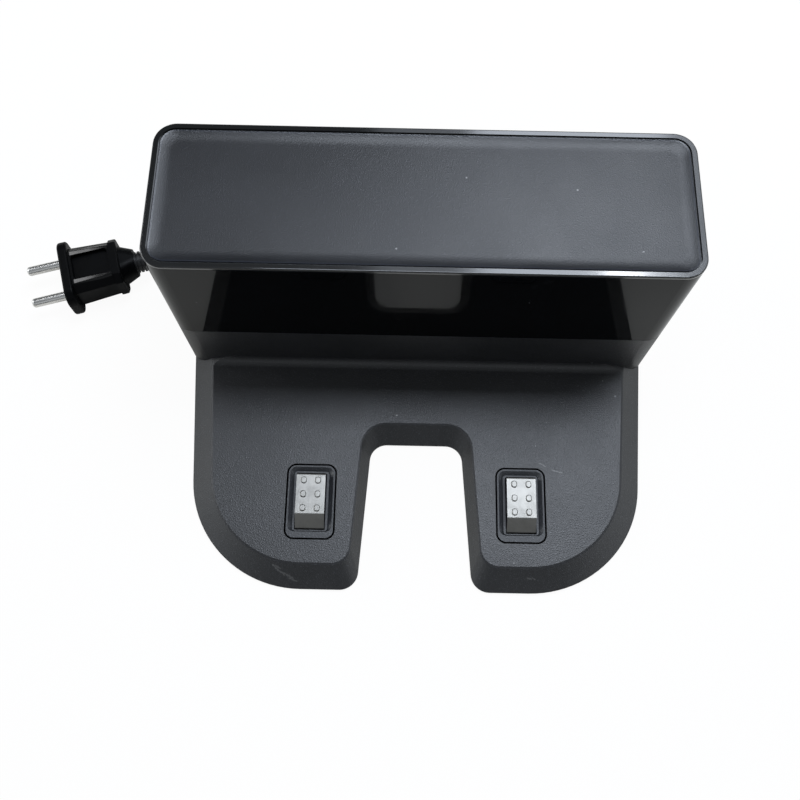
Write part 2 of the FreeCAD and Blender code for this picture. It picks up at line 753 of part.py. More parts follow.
def contact_set(side, sign):
    middle = sign * size.contact_spacing / 2

    def block(sketch, width, length, radius):
        rectangle(sketch, middle - width / 2, contact_y - length / 2, middle + width / 2,
                  contact_y + length / 2, radius)

    bezel = new_body("contact_bezel_" + side)
    flange = new_sketch(bezel, "XY_Plane", flange_low)
    block(flange, size.bezel_width + 2 * size.bezel_flange, size.bezel_length + 2 * size.bezel_flange,
          size.bezel_corner + size.bezel_flange)
    extrude(bezel, "Pad", flange, size.bezel_flange_thickness)
    frame = new_sketch(bezel, "XY_Plane", deck_under)
    block(frame, size.bezel_width, size.bezel_length, size.bezel_corner)
    extrude(bezel, "Pad", frame, size.wall)
    opening_width = size.contact_width + 2 * size.contact_play
    opening_length = size.contact_length + 2 * size.contact_play
    dish_back = contact_y + size.bezel_length / 2 - size.bezel_rim
    dish_side = size.bezel_width / 2 - size.bezel_rim
    lip_back = contact_y + opening_length / 2 + size.lip_width
    lip_side = opening_width / 2 + size.lip_width
    lip_front = contact_y - opening_length / 2 - size.bezel_step
    dish_top = new_sketch(bezel, "XY_Plane", size.deck_height)
    rectangle(dish_top, middle - dish_side, lip_front - size.bezel_step, middle + dish_side, dish_back,
              size.bezel_corner - size.bezel_rim)
    dish_floor = new_sketch(bezel, "XY_Plane", size.deck_height - size.bezel_dish)
    rectangle(dish_floor, middle - lip_side, lip_front, middle + lip_side, lip_back,
              size.contact_play + size.lip_width)
    loft(bezel, "SubtractiveLoft", [dish_top, dish_floor])
    lip = new_sketch(bezel, "XY_Plane", size.deck_height - size.bezel_dish)
    rectangle(lip, middle - lip_side, lip_front, middle + lip_side, lip_back,
              size.contact_play + size.lip_width)
    extrude(bezel, "Pad", lip, size.lip_height)
    opening = new_sketch(bezel, "XY_Plane", flange_low)
    block(opening, opening_width, opening_length, size.contact_play)
    extrude(bezel, "Pocket", opening, size.contact_rise + size.deck_height - flange_low)

    contact = new_body("contact_plate_" + side)
    fold = new_sketch(contact, "YZ_Plane", middle - size.contact_width / 2)
    bend = size.contact_bend
    inner_bend = size.contact_bend - size.contact_sheet
    outline(fold, [
        (contact_y - half_length, carrier_top, None),
        (contact_y + inner_foot, carrier_top, None),
        (contact_y + inner_foot, inner_foot_z, inner_bend),
        (contact_y + inner_fold, sheet_under, inner_bend),
        (contact_y + half_length - size.contact_sheet, sheet_under, inner_bend),
        (contact_y + half_length - size.contact_sheet, carrier_top, None),
        (contact_y + half_length, carrier_top, None),
        (contact_y + half_length, contact_top, bend),
        (contact_y + fold_y, contact_top, bend),
        (contact_y - half_length, foot_z, bend),
    ])
    extrude(contact, "Pad", fold, size.contact_width)
    axes = {item.Role: item for item in contact.Origin.OriginFeatures}
    bump_plan = new_sketch(contact, "XY_Plane", contact_top)
    bump_x = middle - size.bump_row_spacing / 2
    bump_y = contact_y + size.bump_setback
    rectangle(bump_plan, bump_x - size.bump_width / 2, bump_y - size.bump_length / 2,
              bump_x + size.bump_width / 2, bump_y + size.bump_length / 2, size.bump_width * 0.45)
    bump = extrude(contact, "Pad", bump_plan, size.bump_height)
    rows = contact.newObject("PartDesign::MultiTransform", "Rows")
    rows.Originals = [bump]
    across = contact.newObject("PartDesign::LinearPattern", "Across")
    across.Direction = (axes["X_Axis"], [""])
    across.setExpression("Length", size.bump_row_spacing.text)
    across.Occurrences = 2
    along = contact.newObject("PartDesign::LinearPattern", "Along")
    along.Direction = (axes["Y_Axis"], [""])
    along.Reversed = True
    along.setExpression("Length", (2 * size.bump_pitch).text)
    along.Occurrences = 3
    rows.Transformations = [across, along]
    contact.Tip = rows
    doc.recompute()
    bump_top = contact_top + size.bump_height
    dress(contact, "Fillet", size.bump_height * 0.8, lambda edge: near(box_of(edge).ZMin, bump_top))

    carrier = new_body("contact_carrier_" + side)
    core = new_sketch(carrier, "YZ_Plane", middle - size.contact_width / 2)
    outline(core, [
        (contact_y + inner_foot, carrier_low, None),
        (contact_y + half_length - size.contact_sheet, carrier_low, None),
        (contact_y + half_length - size.contact_sheet, sheet_under, inner_bend),
        (contact_y + inner_fold, sheet_under, inner_bend),
        (contact_y + inner_foot, inner_foot_z, inner_bend),
    ])
    extrude(carrier, "Pad", core, size.contact_width)
    stop = new_sketch(carrier, "XY_Plane", carrier_low)
    block(stop, size.contact_width + 2 * size.carrier_flange, size.contact_length + 2 * size.carrier_flange,
          size.contact_play)
    extrude(carrier, "Pad", stop, size.carrier_flange_thickness)
    spring_room = new_sketch(carrier, "XY_Plane", carrier_low)
    circle(spring_room, middle, contact_y, size.spring_radius + size.spring_wire / 2 + size.spring_play)
    extrude(carrier, "Pocket", spring_room, pocket_top - carrier_low)

    rise = pocket_top.value - terminal_top.value - size.spring_wire.value
    helix = Part.makeHelix(rise / size.spring_turns.value, rise, size.spring_radius.value)
    start = FreeCAD.Vector(size.spring_radius.value, 0, 0)
    slope = FreeCAD.Vector(0, 2 * math.pi * size.spring_radius.value * size.spring_turns.value, rise)
    section = Part.Wire(Part.makeCircle(size.spring_wire.value / 2, start, slope))
    coil = Part.Wire(helix).makePipeShell([section], True, True)
    spring = new_solid("contact_spring_" + side, coil)
    spring.Placement.Base = up(middle, contact_y, terminal_top + size.spring_wire / 2)

    terminal = new_body("contact_terminal_" + side)
    washer = new_sketch(terminal, "XY_Plane", plate_top)
    circle(washer, middle, contact_y, size.spring_radius + size.spring_wire)
    extrude(terminal, "Pad", washer, size.terminal_sheet)
    tag = new_sketch(terminal, "XY_Plane", plate_top)
    rectangle(tag, middle - size.terminal_tag_width / 2, contact_y, middle + size.terminal_tag_width / 2,
              contact_y + size.terminal_tag_length)
    extrude(terminal, "Pad", tag, size.terminal_sheet)


contact_set("left", -1)
contact_set("right", 1)

# Infrared beacon behind the window: a board on two posts with three emitters.
board_near = beacon_face + size.beacon_post_length
board_far = board_near + size.board_thickness
beacon_board = new_body("beacon_board")
beacon_plan = new_sketch(beacon_board, "XZ_Plane", -board_near)
beacon_low = size.beacon_height - size.beacon_board_height / 2
rectangle(beacon_plan, -size.beacon_board_width / 2, beacon_low, size.beacon_board_width / 2,
          beacon_low + size.beacon_board_height, size.board_thickness)
for sign in (-1, 1):
    circle(beacon_plan, sign * size.beacon_post_x, size.beacon_height, size.screw_radius + size.screw_play)
extrude(beacon_board, "Pad", beacon_plan, size.board_thickness, back=True)
emitters = []
for place in (-1, 0, 1):
    spot = up(place * size.beacon_spacing, board_near, size.beacon_height)
    toward = FreeCAD.Vector(0, -1, 0)
    barrel = size.emitter_length - size.emitter_radius
    shape = cylinder(size.emitter_radius, barrel, spot, toward)
    shape = shape.fuse(cylinder(size.emitter_flange_radius, size.emitter_radius / 2, spot, toward))
    dome = Part.makeSphere(size.emitter_radius.value, spot + toward * barrel.value)
    emitters.append(shape.fuse(dome).removeSplitter())
new_solid("beacon_emitters", Part.makeCompound(emitters))

# Power supply board on the rear cover's posts, with its larger components.
power_near = power_face - size.board_thickness
power_board = new_body("power_board")
power_plan = new_sketch(power_board, "XZ_Plane", -power_near)
power_top = size.power_board_lift + size.power_board_height
rectangle(power_plan, -size.power_board_width / 2, size.power_board_lift, size.power_board_width / 2,
          power_top, size.board_thickness)
for x, z in post_spots:
    circle(power_plan, x, z, size.screw_radius + size.screw_play)
extrude(power_board, "Pad", power_plan, size.board_thickness, back=True)
board_screws = []
for sign in (-1, 1):
    spot = up(sign * size.beacon_post_x, board_far + size.screw_head_height, size.beacon_height)
    board_screws.append(screw(spot, (0, -1, 0), size.board_thickness + size.beacon_post_length * 0.8))
for x, z in post_spots:
    spot = up(x, power_near - size.screw_head_height, z)
    board_screws.append(screw(spot, (0, 1, 0), size.board_thickness + size.power_post_length * 0.8))
new_solid("board_screws", Part.makeCompound(board_screws))
board_middle = size.power_board_lift + size.power_board_height / 2
leg = (size.core_width - 2 * size.core_window) / 4
yoke = leg
coil_depth = size.core_depth + 2 * size.core_window
core = new_body("transformer_core")
core_plan = new_sketch(core, "XZ_Plane", -(power_near - size.core_window))
rectangle(core_plan, -size.core_width / 2, board_middle - size.core_height / 2, size.core_width / 2,
          board_middle + size.core_height / 2)
for sign in (-1, 1):
    rectangle(core_plan, sign * (leg + size.core_window / 2) - size.core_window / 2,
              board_middle - size.core_height / 2 + yoke,
              sign * (leg + size.core_window / 2) + size.core_window / 2,
              board_middle + size.core_height / 2 - yoke)
extrude(core, "Pad", core_plan, size.core_depth)
winding = new_body("transformer_winding")
winding_plan = new_sketch(winding, "XY_Plane", board_middle - size.core_height / 2 + yoke + size.seam_gap)
play = size.seam_gap
rectangle(winding_plan, play - leg - size.core_window, power_near - coil_depth,
          leg + size.core_window - play, power_near, size.core_window / 2)
rectangle(winding_plan, -leg - play, power_near - size.core_window - size.core_depth - play,
          leg + play, power_near - size.core_window + play)
extrude(winding, "Pad", winding_plan, size.core_height - 2 * yoke - 2 * size.seam_gap)
capacitor = new_body("bulk_capacitor")
can = new_sketch(capacitor, "XZ_Plane", -power_near)
can_x = size.core_width / 2 + 2 * size.capacitor_radius
circle(can, can_x, board_middle, size.capacitor_radius)
extrude(capacitor, "Pad", can, size.capacitor_length)
dress(capacitor, "Fillet", size.capacitor_radius / 6, lambda edge: len(edge.Vertexes) == 1
      and near(box_of(edge).YMax, power_near - size.capacitor_length))
choke = new_body("mains_choke")
ring = new_sketch(choke, "XZ_Plane", -power_near)
choke_x = can_x + size.capacitor_radius + size.choke_radius + size.wall
circle(ring, choke_x, board_middle, size.choke_radius)
circle(ring, choke_x, board_middle, size.choke_bore)
extrude(choke, "Pad", ring, size.choke_width)
dress(choke, "Fillet", size.choke_width / 5, lambda edge: len(edge.Vertexes) == 1)

# Terminal blocks at the board's foot, each with two wires coming up into it.
wire_step = size.plug_block_width / 4
block_y = power_near - size.plug_block_depth / 2
block_low = size.power_board_lift + size.board_thickness
wire_bore = size.lead_radius + size.seam_gap
wire_depth = size.plug_block_height / 3
output_x = wire_step - size.contact_spacing / 2
mains_x = -output_x
for name, block_x in (("output_block", output_x), ("mains_block", mains_x)):
    terminal_block = new_body(name)
    block_plan = new_sketch(terminal_block, "XY_Plane", block_low)
    rectangle(block_plan, block_x - size.plug_block_width / 2, power_near - size.plug_block_depth,
              block_x + size.plug_block_width / 2, power_near)
    extrude(terminal_block, "Pad", block_plan, size.plug_block_height)
    entries = new_sketch(terminal_block, "XY_Plane", block_low)
    for sign in (-1, 1):
        circle(entries, block_x + sign * wire_step, block_y, wire_bore)
    extrude(terminal_block, "Pocket", entries, wire_depth + size.seam_gap)


def rounded_path(points, share=0.45, least=None):
    """Straight runs with tangent arcs, each as large as its runs allow or of one radius."""
    edges = []
    last = points[0]
    for before, corner, after in zip(points, points[1:], points[2:]):
        back = before - corner
        ahead = after - corner
        turn = math.pi - back.getAngle(ahead)
        reach = share * min(back.Length, ahead.Length)
        if least is not None:
            reach = min(reach, least * math.tan(turn / 2))
        radius = reach / math.tan(turn / 2)
        back.normalize()
        ahead.normalize()
        entry = corner + back * reach
        leave = corner + ahead * reach
        inward = (back + ahead).normalize()
        centre = corner + inward * math.hypot(reach, radius)
        middle = centre - inward * radius
        edges.append(Part.LineSegment(last, entry).toShape())
        edges.append(Part.Arc(entry, middle, leave).toShape())
        last = leave
    edges.append(Part.LineSegment(last, points[-1]).toShape())
    return Part.Wire(edges)


def tube(points, radius, least=None):
    path = rounded_path(points, least=least)
    section = Part.Wire(Part.makeCircle(radius.value, points[0], points[1] - points[0]))
    return path.makePipeShell([section], True, False)


wire_bend = 4 * size.lead_radius.value
wire_z = terminal_top + size.lead_radius
wire_start = contact_y + half_length + size.carrier_flange + size.wall
wire_end = block_low + wire_depth
crossing_y = block_y - size.plug_block_depth
left_hole = output_x - wire_step
right_hole = output_x + wire_step
left_lead = [
    up(left_hole, wire_start, wire_z),
    up(left_hole, block_y, wire_z),
    up(left_hole, block_y, wire_end),
]
right_lead = [
    up(-left_hole, wire_start, wire_z),
    up(-left_hole, crossing_y, wire_z),
    up(right_hole, crossing_y, wire_z),
    up(right_hole, block_y, wire_z),
    up(right_hole, block_y, wire_end),
]
new_solid("contact_lead_left", tube(left_lead, size.lead_radius, wire_bend))
new_solid("contact_lead_right", tube(right_lead, size.lead_radius, wire_bend))

# Cord gland in the rear cover, and the two mains wires inside.
gland_inner = back_y - size.wall - size.gland_flange_thickness
gland_tip = back_y + size.gland_length
gland = new_body("cord_gland")
gland_flange = new_sketch(gland, "XZ_Plane", -gland_inner)
circle(gland_flange, gland_x, size.gland_height, size.gland_flange_radius)
extrude(gland, "Pad", gland_flange, size.gland_flange_thickness, back=True)
gland_shank = new_sketch(gland, "XZ_Plane", -gland_inner)
circle(gland_shank, gland_x, size.gland_height, size.gland_radius)
extrude(gland, "Pad", gland_shank, size.gland_flange_thickness + size.wall, back=True)
boot_root = new_sketch(gland, "XZ_Plane", -back_y)
circle(boot_root, gland_x, size.gland_height, size.gland_radius)
boot_tip = new_sketch(gland, "XZ_Plane", -gland_tip)
circle(boot_tip, gland_x, size.gland_height, size.gland_tip_radius)
loft(gland, "AdditiveLoft", [boot_root, boot_tip])
boot_groove = new_sketch(gland, "XZ_Plane", -(back_y + size.gland_length * 0.3))
circle(boot_groove, gland_x, size.gland_height, size.gland_flange_radius)
circle(boot_groove, gland_x, size.gland_height, size.cord_radius + size.tie_thickness)
groove_cut = extrude(gland, "Pocket", boot_groove, size.gland_length / 16, back=True)
gland_axes = {item.Role: item for item in gland.Origin.OriginFeatures}
boot_ribs = gland.newObject("PartDesign::LinearPattern", "Ribs")
boot_ribs.Originals = [groove_cut]
boot_ribs.Direction = (gland_axes["Y_Axis"], [""])
boot_ribs.setExpression("Length", (size.gland_length * 0.54).text)
boot_ribs.Occurrences = 4
gland.Tip = boot_ribs
doc.recompute()
mains_wires = []
for sign, hole in ((1, mains_x + wire_step), (-1, mains_x - wire_step)):
    level = size.gland_height + sign * size.gland_radius / 3
    wire = [
        up(gland_x, gland_inner, level),
        up(gland_x, block_y, level),
        up(hole, block_y, level),
        up(hole, block_y, wire_end),
    ]
    mains_wires.append(tube(wire, size.lead_radius, wire_bend))
new_solid("mains_wires", Part.makeCompound(mains_wires))

# Mains plug: flange, tapered grip with a hollow between two rails, collar and neck.
plug_lift = size.flange_height / 2
plug_place = FreeCAD.Placement(
    FreeCAD.Vector(plug_x.value, plug_y.value, plug_lift.value),
    FreeCAD.Rotation(FreeCAD.Vector(0, 0, 1), size.plug_yaw.value))


def place_on_plug(item):
    item.setExpression("Placement.Base.x", plug_x.text)
    item.setExpression("Placement.Base.y", plug_y.text)
    item.setExpression("Placement.Base.z", plug_lift.text)
    item.Placement.Rotation = plug_place.Rotation


def plug_section(body, along, width, height, radius):
    sketch = new_sketch(body, "YZ_Plane", along)
    rectangle(sketch, -width / 2, -height / 2, width / 2, height / 2, radius)
    return sketch


def grip_section(along, width, height):
    """Section of the plug with broad chamfers and softened edges."""
    sketch = new_sketch(plug, "YZ_Plane", along)
    side = width / 2
    top = height / 2
    cut = size.grip_chamfer
    soft = size.grip_edge
    outline(sketch, [
        (side, top - cut, soft),
        (side - cut, top, soft),
        (cut - side, top, soft),
        (-side, top - cut, soft),
        (-side, cut - top, soft),
        (cut - side, -top, soft),
        (side - cut, -top, soft),
        (side, cut - top, soft),
    ])
    return sketch


plug = new_body("plug_body")
face = plug_section(plug, as_size(0), size.flange_width, size.flange_height, size.flange_corner)
extrude(plug, "Pad", face, size.flange_thickness)
dress(plug, "Fillet", size.flange_thickness / 4,
      lambda edge: abs(box_of(edge).XMax - box_of(edge).XMin) < 1e-4)
grip_root = grip_section(size.flange_thickness, size.grip_root_width, size.grip_root_height)
grip_tip = grip_section(size.grip_end, size.grip_width, size.grip_height)
loft(plug, "AdditiveLoft", [grip_root, grip_tip])
collar_end = size.grip_end + size.collar_thickness
collar = grip_section(size.grip_end, size.collar_width, size.collar_height)
extrude(plug, "Pad", collar, size.collar_thickness)
dress(plug, "Fillet", size.collar_round, lambda edge: near(box_of(edge).XMin, collar_end))
neck_end = collar_end + size.neck_length
neck_root = plug_section(plug, collar_end, size.neck_width, size.neck_height, size.neck_corner)
neck_tip = plug_section(plug, neck_end, 2 * size.neck_end_radius, 2 * size.neck_end_radius,
                        size.neck_end_radius * 0.95)
loft(plug, "AdditiveLoft", [neck_root, neck_tip])
hollow_level = size.grip_height / 2 - size.grip_recess_depth
for sign in (-1, 1):
    hollow = new_sketch(plug, "XY_Plane", sign * hollow_level)
    rectangle(hollow, size.grip_recess_start, -size.grip_recess_width / 2, size.grip_recess_end,
              size.grip_recess_width / 2, size.grip_recess_depth)
    extrude(plug, "Pocket", hollow, size.grip_height / 2, back=sign < 0)
place_on_plug(plug)
relief = new_body("plug_relief")
relief_end = neck_end + size.relief_length
sleeve = new_sketch(relief, "YZ_Plane", neck_end)
circle(sleeve, 0, 0, size.relief_radius)
extrude(relief, "Pad", sleeve, size.relief_length)
relief_cut = new_sketch(relief, "YZ_Plane", neck_end + size.relief_length / 5)
circle(relief_cut, 0, 0, size.relief_radius + size.relief_groove)
circle(relief_cut, 0, 0, size.relief_radius - size.relief_groove)
first_groove = extrude(relief, "Pocket", relief_cut, size.relief_length / 5)
relief_axes = {item.Role: item for item in relief.Origin.OriginFeatures}
relief_ribs = relief.newObject("PartDesign::LinearPattern", "Ribs")
relief_ribs.Originals = [first_groove]
relief_ribs.Direction = (relief_axes["X_Axis"], [""])
relief_ribs.setExpression("Length", (size.relief_length * 0.4).text)
relief_ribs.Occurrences = 2
relief.Tip = relief_ribs
doc.recompute()
place_on_plug(relief)
pins = []
for sign in (-1, 1):
    foot = FreeCAD.Vector(0, sign * size.pin_spacing.value / 2, 0)
    pin = cylinder(size.pin_radius, size.pin_length, foot, (-1, 0, 0))
    tip = [edge for edge in pin.Edges if edge.BoundBox.XMax < 1e-6 - size.pin_length.value]
    pins.append(pin.makeFillet(size.pin_radius.value * 0.6, tip))
pin_pair = new_solid("plug_pins", Part.makeCompound(pins))
place_on_plug(pin_pair)

# Cord: out of the gland to a tied hank behind the tower, and from the hank round to the plug.
hank_half = size.hank_fold_radius + size.hank_width / 2
hank_y = back_y + size.hank_setback + hank_half
hank_low = size.tie_thickness + size.tie_play
hank = new_body("cord_hank")
hank_plan = new_sketch(hank, "XY_Plane", hank_low)
hank_hole = size.hank_fold_radius - size.hank_width / 2
for reach in (hank_half, hank_hole):
    rectangle(hank_plan, -size.hank_run / 2 - reach, hank_y - reach, size.hank_run / 2 + reach,
              hank_y + reach, reach * 0.999)
extrude(hank, "Pad", hank_plan, size.hank_height)
tie = new_body("cord_tie")
tie_plan = new_sketch(tie, "YZ_Plane", -size.tie_width / 2)
tie_inner = size.hank_width / 2 + size.tie_play
tie_outer = tie_inner + size.tie_thickness
tie_y = hank_y - size.hank_fold_radius
tie_z = hank_low + size.hank_height / 2
tie_half = size.hank_height / 2 + size.tie_play
rectangle(tie_plan, tie_y - tie_outer, tie_z - tie_half - size.tie_thickness, tie_y + tie_outer,
          tie_z + tie_half + size.tie_thickness, 2 * size.tie_thickness)
rectangle(tie_plan, tie_y - tie_inner, tie_z - tie_half, tie_y + tie_inner, tie_z + tie_half,
          size.tie_thickness)
extrude(tie, "Pad", tie_plan, size.tie_width)
plug_axis = plug_place.Rotation.multVec(FreeCAD.Vector(1, 0, 0))
cord_end = plug_place.Base + plug_axis * relief_end.value
lay_y = hank_y + hank_half + size.cord_radius + size.hank_clearance
bed_z = size.cord_radius + size.cord_lift


def route(x, y, steps):
    """Points of the cord's line, each given from a place on the floor and the height of its bed."""
    return [up(x + along, y + across, bed_z + rise) for along, across, rise in steps]


lead_points = [up(gland_x, gland_tip, size.gland_height)]
lead_points.append(lead_points[0] + FreeCAD.Vector(0, 13, 0))
lead_points += route(gland_x, lay_y, ((-1, -20, 7.4), (-10, -8, 3.2), (-26, -0.8, 0.6), (-45, 0.5, 0),
                                      (-63, 0, 0)))
tail_points = route(as_size(0), lay_y, ((-39, 0, 0), (-59.5, 0.4, 0), (-81, -2, 0), (-101, -9.5, 0)))
tail_points += route(-half_width, back_y, ((1.5, 44.75, 0.1), (-7, 30.75, 0.6), (-10.3, 18.4, 2.0),
                                           (-10.9, 8.6, 4.2), (-10.7, 0.8, 5.9), (-12.7, -5.5, 7.1),
                                           (-16.7, -10.4, 7.8)))
tail_points.append(cord_end + plug_axis * 6.0)
tail_points.append(cord_end)
new_solid("cord_lead", tube(lead_points, size.cord_radius))
new_solid("cord_tail", tube(tail_points, size.cord_radius))

doc.recompute()
for item in doc.Objects:
    if "Invalid" in item.State or "Error" in item.State:
        raise RuntimeError("%s did not build" % item.Name)
for item in subparts:
    if item.Shape.isNull() or not item.Shape.isValid():
        raise RuntimeError("%s has no valid shape" % item.Label)
os.makedirs("parts", exist_ok=True)
for item in subparts:
    item.Shape.exportStep("parts/%s.step" % item.Label)
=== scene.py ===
import math

import bpy
from mathutils import Matrix, Vector


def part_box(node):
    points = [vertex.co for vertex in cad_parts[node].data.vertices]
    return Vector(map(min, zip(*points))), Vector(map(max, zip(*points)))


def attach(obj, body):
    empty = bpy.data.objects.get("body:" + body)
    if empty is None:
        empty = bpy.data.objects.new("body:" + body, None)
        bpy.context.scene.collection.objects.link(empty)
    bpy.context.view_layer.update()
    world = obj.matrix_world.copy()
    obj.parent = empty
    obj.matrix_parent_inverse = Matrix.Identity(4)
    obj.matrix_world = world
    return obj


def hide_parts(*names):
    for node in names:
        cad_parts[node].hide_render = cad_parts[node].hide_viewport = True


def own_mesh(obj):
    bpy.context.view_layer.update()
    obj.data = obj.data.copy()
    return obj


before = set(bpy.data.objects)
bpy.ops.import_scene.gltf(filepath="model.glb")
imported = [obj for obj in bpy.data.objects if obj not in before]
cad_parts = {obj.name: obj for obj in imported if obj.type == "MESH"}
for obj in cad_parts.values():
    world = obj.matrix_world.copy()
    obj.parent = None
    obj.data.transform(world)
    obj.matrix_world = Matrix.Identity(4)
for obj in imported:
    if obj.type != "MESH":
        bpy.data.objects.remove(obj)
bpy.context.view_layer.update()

bl_info = {
    "name": "Vacuum Charging Dock",
    "version": (1, 0, 0),
    "blender": (4, 5, 0),
    "location": "View3D > Sidebar > Dock",
    "description": "Dresses the charging dock of a robot vacuum: finishes, lead, contact springs and stage",
    "category": "Object",
}


# Sizes and colours


class DockFinish(bpy.types.PropertyGroup):
    """Colours and surface character of the dock's finishes."""

    shell_colour: bpy.props.FloatVectorProperty(
        name="Shell colour", description="Moulded plastic of the base and tower",
        subtype="COLOR", size=3, min=0, max=1, default=(0.0085, 0.0090, 0.0103))
    lid_colour: bpy.props.FloatVectorProperty(
        name="Lid colour", description="Matt plastic of the dished lid",
        subtype="COLOR", size=3, min=0, max=1, default=(0.0060, 0.0068, 0.0090))
    window_colour: bpy.props.FloatVectorProperty(
        name="Window colour", description="Infrared window, near black",
        subtype="COLOR", size=3, min=0, max=1, default=(0.0004, 0.0005, 0.0007))
    bezel_colour: bpy.props.FloatVectorProperty(
        name="Bezel colour", description="Dished frame round each contact",
        subtype="COLOR", size=3, min=0, max=1, default=(0.0210, 0.0225, 0.0255))
    nickel_colour: bpy.props.FloatVectorProperty(
        name="Nickel colour", description="Plated charging contacts",
        subtype="COLOR", size=3, min=0, max=1, default=(0.200, 0.195, 0.182))
    plug_colour: bpy.props.FloatVectorProperty(
        name="Plug colour", description="Moulded plug and its lead",
        subtype="COLOR", size=3, min=0, max=1, default=(0.0012, 0.0013, 0.0015))
    grain_pitch: bpy.props.FloatProperty(
        name="Grain pitch", description="Spacing of the moulded grain",
        subtype="DISTANCE", unit="LENGTH", min=0.0002, max=0.005, default=0.0007)
    grain_depth: bpy.props.FloatProperty(
        name="Grain depth", description="Height of the moulded grain",
        subtype="DISTANCE", unit="LENGTH", min=0, max=0.001, default=0.00012)
    dust: bpy.props.FloatProperty(
        name="Dust", description="How much dust and how many fine marks lie on the surfaces",
        subtype="FACTOR", min=0, max=1, default=0.5)


class DockSizes(bpy.types.PropertyGroup):
    """Sizes of the pieces made here."""

    cord_diameter: bpy.props.FloatProperty(
        name="Cord diameter", description="Outside diameter of the mains lead",
        subtype="DISTANCE", unit="LENGTH", min=0.003, max=0.01, default=0.0056)
    cord_length: bpy.props.FloatProperty(
        name="Cord length", description="Length of the mains lead from the gland to the plug",
        subtype="DISTANCE", unit="LENGTH", min=0.5, max=3.0, default=1.30)
    hank_fold: bpy.props.FloatProperty(
        name="Hank fold radius", description="Radius of the hank's folds at the middle of its turns",
        subtype="DISTANCE", unit="LENGTH", min=0.015, max=0.05, default=0.020)
    hank_half_run: bpy.props.FloatProperty(
        name="Hank half run", description="Half the length of the hank's straight runs",
        subtype="DISTANCE", unit="LENGTH", min=0.03, max=0.08, default=0.050)
    hank_middle: bpy.props.FloatProperty(
        name="Hank middle", description="Distance of the hank's middle behind the origin",
        subtype="DISTANCE", unit="LENGTH", min=0.1, max=0.2, default=0.13005)
    turn_pitch: bpy.props.FloatProperty(
        name="Turn pitch", description="Spacing of the hank's turns beside and on each other",
        subtype="DISTANCE", unit="LENGTH", min=0.004, max=0.01, default=0.0058)
    spring_wire: bpy.props.FloatProperty(
        name="Spring wire", description="Diameter of the contact springs' wire",
        subtype="DISTANCE", unit="LENGTH", min=0.0003, max=0.002, default=0.0007)
    spring_turns: bpy.props.FloatProperty(
        name="Spring turns", description="Number of turns in each contact spring",
        min=1, max=12, default=3.5)
    spring_slack: bpy.props.FloatProperty(
        name="Spring slack", description="How much further than the contact a pressed spring shortens",
        subtype="DISTANCE", unit="LENGTH", min=0, max=0.0005, default=0.00003)


class DockStage(bpy.types.PropertyGroup):
    """Camera, lamps and floor."""

    lens: bpy.props.FloatProperty(
        name="Lens", description="Focal length on a 36 mm sensor",
        subtype="DISTANCE_CAMERA", unit="CAMERA", min=10, max=200, default=40.67)
    camera_place: bpy.props.FloatVectorProperty(
        name="Camera place", description="Where the camera stands",
        subtype="TRANSLATION", unit="LENGTH", size=3, default=(-0.00911, -0.14877, 0.44144))
    camera_turn: bpy.props.FloatVectorProperty(
        name="Camera turn", description="Yaw, pitch below the horizon, and roll",
        subtype="EULER", unit="ROTATION", size=3, default=(0.00316, 1.23483, 0.02341))
    key_power: bpy.props.FloatProperty(
        name="Key power", description="Soft box above and behind, seen in the lid and its rim",
        subtype="POWER", unit="POWER", min=0, max=500, default=4.8)
    shoulder_power: bpy.props.FloatProperty(
        name="Shoulder power", description="Weaker boxes beside the key, which soften its ends",
        subtype="POWER", unit="POWER", min=0, max=500, default=1.1)
    top_power: bpy.props.FloatProperty(
        name="Top power", description="Long soft box overhead, seen in the deck",
        subtype="POWER", unit="POWER", min=0, max=500, default=9.5)
    fill_power: bpy.props.FloatProperty(
        name="Fill power", description="Low soft box on the left",
        subtype="POWER", unit="POWER", min=0, max=500, default=3.0)
    strip_power: bpy.props.FloatProperty(
        name="Strip power", description="Narrow bright lamp that shows on the gloss rim",
        subtype="POWER", unit="POWER", min=0, max=500, default=0.7)
    left_power: bpy.props.FloatProperty(
        name="Left strip power", description="Small lamp behind on the left that shows on the plug's rails",
        subtype="POWER", unit="POWER", min=0, max=500, default=0.36)
    room_light: bpy.props.FloatProperty(
        name="Room light", description="Light from all round, least from the front",
        min=0, max=3, default=1.3)
    floor_in_gloss: bpy.props.FloatProperty(
        name="Floor in gloss", description="How pale the floor is where gloss shows it",
        subtype="FACTOR", min=0, max=1, default=0.8)


def finish_set():
    return bpy.context.scene.dock_finish


def size_set():
    return bpy.context.scene.dock_sizes


def stage_set():
    return bpy.context.scene.dock_stage


# Node helpers

# kinds of socket, and places of a Mix node's colour sockets
FLOAT = "NodeSocketFloat"
VECTOR = "NodeSocketVector"
MIX_SHARE = 0
MIX_FIRST = 6
MIX_SECOND = 7
MIX_RESULT = 2


def group_tree(name, inputs, outputs, kind="ShaderNodeTree"):
    """A new node group with its sockets, and its two end nodes."""
    tree = bpy.data.node_groups.new(name, kind)
    for label, socket_kind, default in inputs:
        socket = tree.interface.new_socket(name=label, in_out="INPUT", socket_type=socket_kind)
        if default is not None:
            socket.default_value = default
    for label, socket_kind in outputs:
        tree.interface.new_socket(name=label, in_out="OUTPUT", socket_type=socket_kind)
    entry = tree.nodes.new("NodeGroupInput")
    leave = tree.nodes.new("NodeGroupOutput")
    return tree, entry, leave


def bare_tree(owner, kind):
    """A material's or world's node tree with nothing but its output, and the socket for its surface."""
    owner.use_nodes = True
    tree = owner.node_tree
    tree.nodes.clear()
    return tree, tree.nodes.new(kind).inputs["Surface"]


